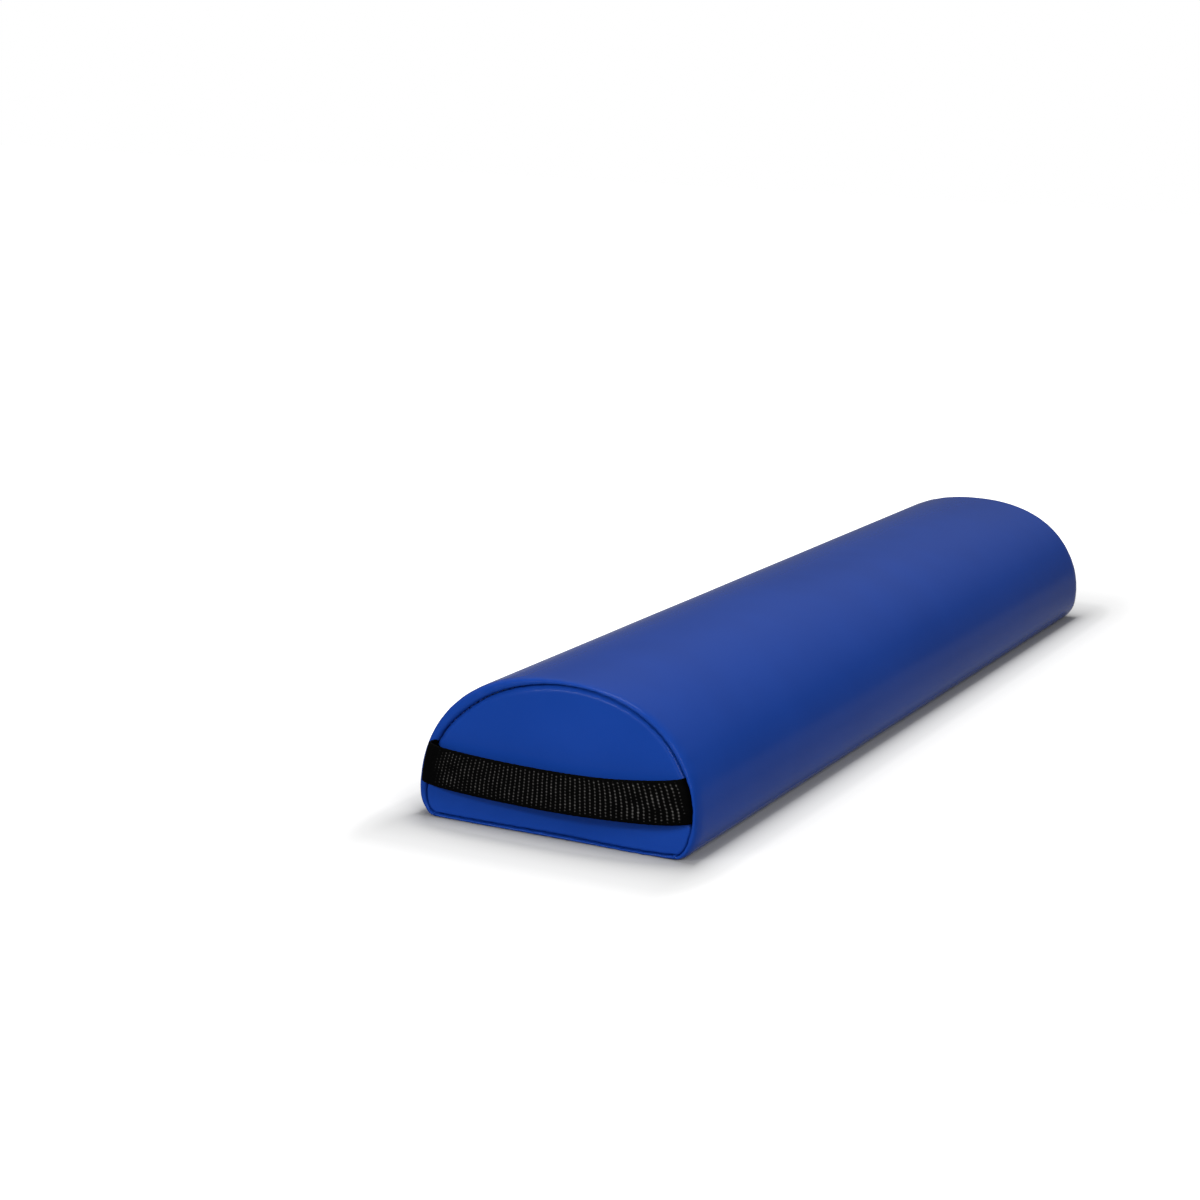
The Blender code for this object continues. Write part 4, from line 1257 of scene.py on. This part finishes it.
@dataclass
class Studio:
    """A pale floor, soft lamps and the camera."""

    floor_half: float = 6.0
    # the floor's grey near the bolster and far out; the far grey is painted darker so that the flank reflects a dim
    # floor
    near_colour: str = "#B0B0B0"
    far_colour: str = "#8C8C8C"
    mirrored_glow: float = 0.05
    half_width: float = 0.0762
    half_length: float = 0.3302
    fill: float = 0.25
    lamps: tuple[Softbox, ...] = field(default_factory=lambda: (
        Softbox("strip_softbox", (-0.52, -1.58, 0.72), (0.0, -0.28, 0.04), (0.70, 0.05), 7.4),
        Softbox("front_softbox", (-0.30, -1.70, 0.42), (0.0, -0.28, 0.03), (1.20, 0.70), 5.4),
        Softbox("right_softbox", (1.08, -1.15, 0.85), (0.0, -0.08, 0.03), (0.8, 0.7), 11.5),
        Softbox("top_softbox", (-0.10, 0.15, 1.60), (0.0, 0.0, 0.03), (0.7, 0.7), 14.2),
    ))

    def rays(self, tree: NodeTree) -> tuple[NodeSocket, NodeSocket]:
        """Return what is 1 for a camera ray, and what is 1 for a mirrored or transmitted one."""
        seen, mirrored, sent = (add_node(tree, "LightPath", f"Is {word} Ray")
                                for word in ("Camera", "Glossy", "Transmission"))
        return seen, add_node(tree, "Math", "Value", {"operation": "MAXIMUM", 0: mirrored, 1: sent})

    def floor(self) -> None:
        """Lay the floor, which is white to the camera and keeps the bolster's shadow.

        Its grey and its glow go by the distance from the bolster's footprint,
        in which sideways steps count three times. The glow that the camera sees
        is weakest at the footprint and rises away from it, so the dark band round
        the bolster is partly painted shadow on top of the lamps' real shadow.
        The grey is painted darker further out, where the glow hides it from the
        camera, so that the flank reflects a darker floor: a painted reflection.
        """
        half = self.floor_half
        mesh = bpy.data.meshes.new("studio_floor")
        corners = [(-half, -half, 0.0), (half, -half, 0.0), (half, half, 0.0), (-half, half, 0.0)]
        mesh.from_pydata(corners, [], [(0, 1, 2, 3)])
        floor = bpy.data.objects.new("studio_floor", mesh)
        bpy.context.scene.collection.objects.link(floor)
        material = bpy.data.materials.new("seamless_paper")
        tree = shader_tree(material)
        away = add_node(tree, "TexCoord", "Object")
        for operation, value in (("ABSOLUTE", (0, 0, 0)), ("SUBTRACT", (self.half_width, self.half_length, 0)),
                                 ("MAXIMUM", (0, 0, 0)), ("MULTIPLY", (3, 1, 0))):
            away = add_node(tree, "VectorMath", "Vector", {"operation": operation, 0: away, 1: value})
        far = add_node(tree, "VectorMath", "Value", {"operation": "LENGTH", 0: away})
        # painted shadow: the glow grows away from the footprint, so the floor is darker round the bolster
        fade, reach, wide = (add_node(tree, "MapRange", "Result", {
            "From Min": near, "From Max": stop, "To Max": most, "Value": far}) for near, stop, most in (
                (0.040, 0.160, 1.0), (0.0, 0.060, 1.0), (0.045, 0.25, 0.80)))
        # painted reflection: the grey is painted darker further out, which dims the floor's reflection on the flank
        grey = add_node(tree, "Mix", 2, {
            "data_type": "RGBA", 0: fade, 6: linear(self.near_colour), 7: linear(self.far_colour)})
        rise = add_node(tree, "Math", "Value", {"operation": "POWER", 0: reach, 1: 0.6})
        glow = add_node(tree, "Math", "Value", {"operation": "MULTIPLY_ADD", 0: rise, 1: 0.50, 2: wide})
        camera, mirrored = self.rays(tree)
        shown = add_node(tree, "Math", "Value", {
            "operation": "MULTIPLY_ADD", 0: mirrored, 1: self.mirrored_glow, 2: camera})
        seen = add_node(tree, "Math", "Value", {"operation": "MULTIPLY", 0: glow, 1: shown})
        set_node(tree.nodes[SHADER], {"Base Color": grey, "Roughness": 0.9, "Specular IOR Level": 0.0,
                                      "Emission Color": WHITE, "Emission Strength": seen})
        mesh.materials.append(material)

    def world(self) -> None:
        """Surround the bolster with light that is white behind it and dimmer in front."""
        world = bpy.data.worlds.new("studio")
        bpy.context.scene.world = world
        tree = shader_tree(world)
        lift = add_node(tree, "SeparateXYZ", "Z", {0: add_node(tree, "TexCoord", "Generated")})
        glow = add_node(tree, "MapRange", "Result", {
            "From Min": 0.20, "From Max": 0.80, "To Min": 0.15, "To Max": 0.8, "Value": lift})
        camera, mirrored = self.rays(tree)
        soft = add_node(tree, "Mix", 0, {0: mirrored, 2: self.fill, 3: glow})
        lit = add_node(tree, "Math", "Value", {"operation": "MAXIMUM", 0: soft, 1: camera})
        set_node(tree.nodes["Background"], {"Color": WHITE, "Strength": lit})

    def build(self) -> None:
        """Set up the floor, the world, the lamps, the camera and the view."""
        self.floor()
        self.world()
        for lamp in self.lamps:
            lamp.build()
        PhotoCamera().build()
        bpy.context.scene.view_settings.view_transform = "Standard"


def main() -> None:
    """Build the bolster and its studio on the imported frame."""
    logging.basicConfig(level=logging.INFO, format="%(name)s: %(message)s")
    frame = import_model()
    section = Section()
    seam = EndSeam(section)
    zipper_seam = ZipperSeam(section)

    cover = Cover(section, seam, zipper_seam, UpholsteryVinyl().material())
    cover.long_panels()
    cover.end_panel("front_end_panel_vinyl", True, "front_end_panel")
    cover.end_panel("rear_end_panel_vinyl", False, "rear_end_panel")
    CarryStrap(section, seam, PolypropyleneWebbing().material()).build()
    stitching = Stitching(section, seam, SewingThread().material())
    stitching.build("front_seam_stitches", True)
    stitching.build("rear_seam_stitches", False)
    metal = NickelPlate().material()
    Zipper(zipper_seam, WovenTape().material(), NylonCoil().material(), metal).build(frame["nodes"])
    FoamCore(section, seam, zipper_seam, CutFoam().material()).build()
    Studio().build()


if __name__ == "__main__":
    main()
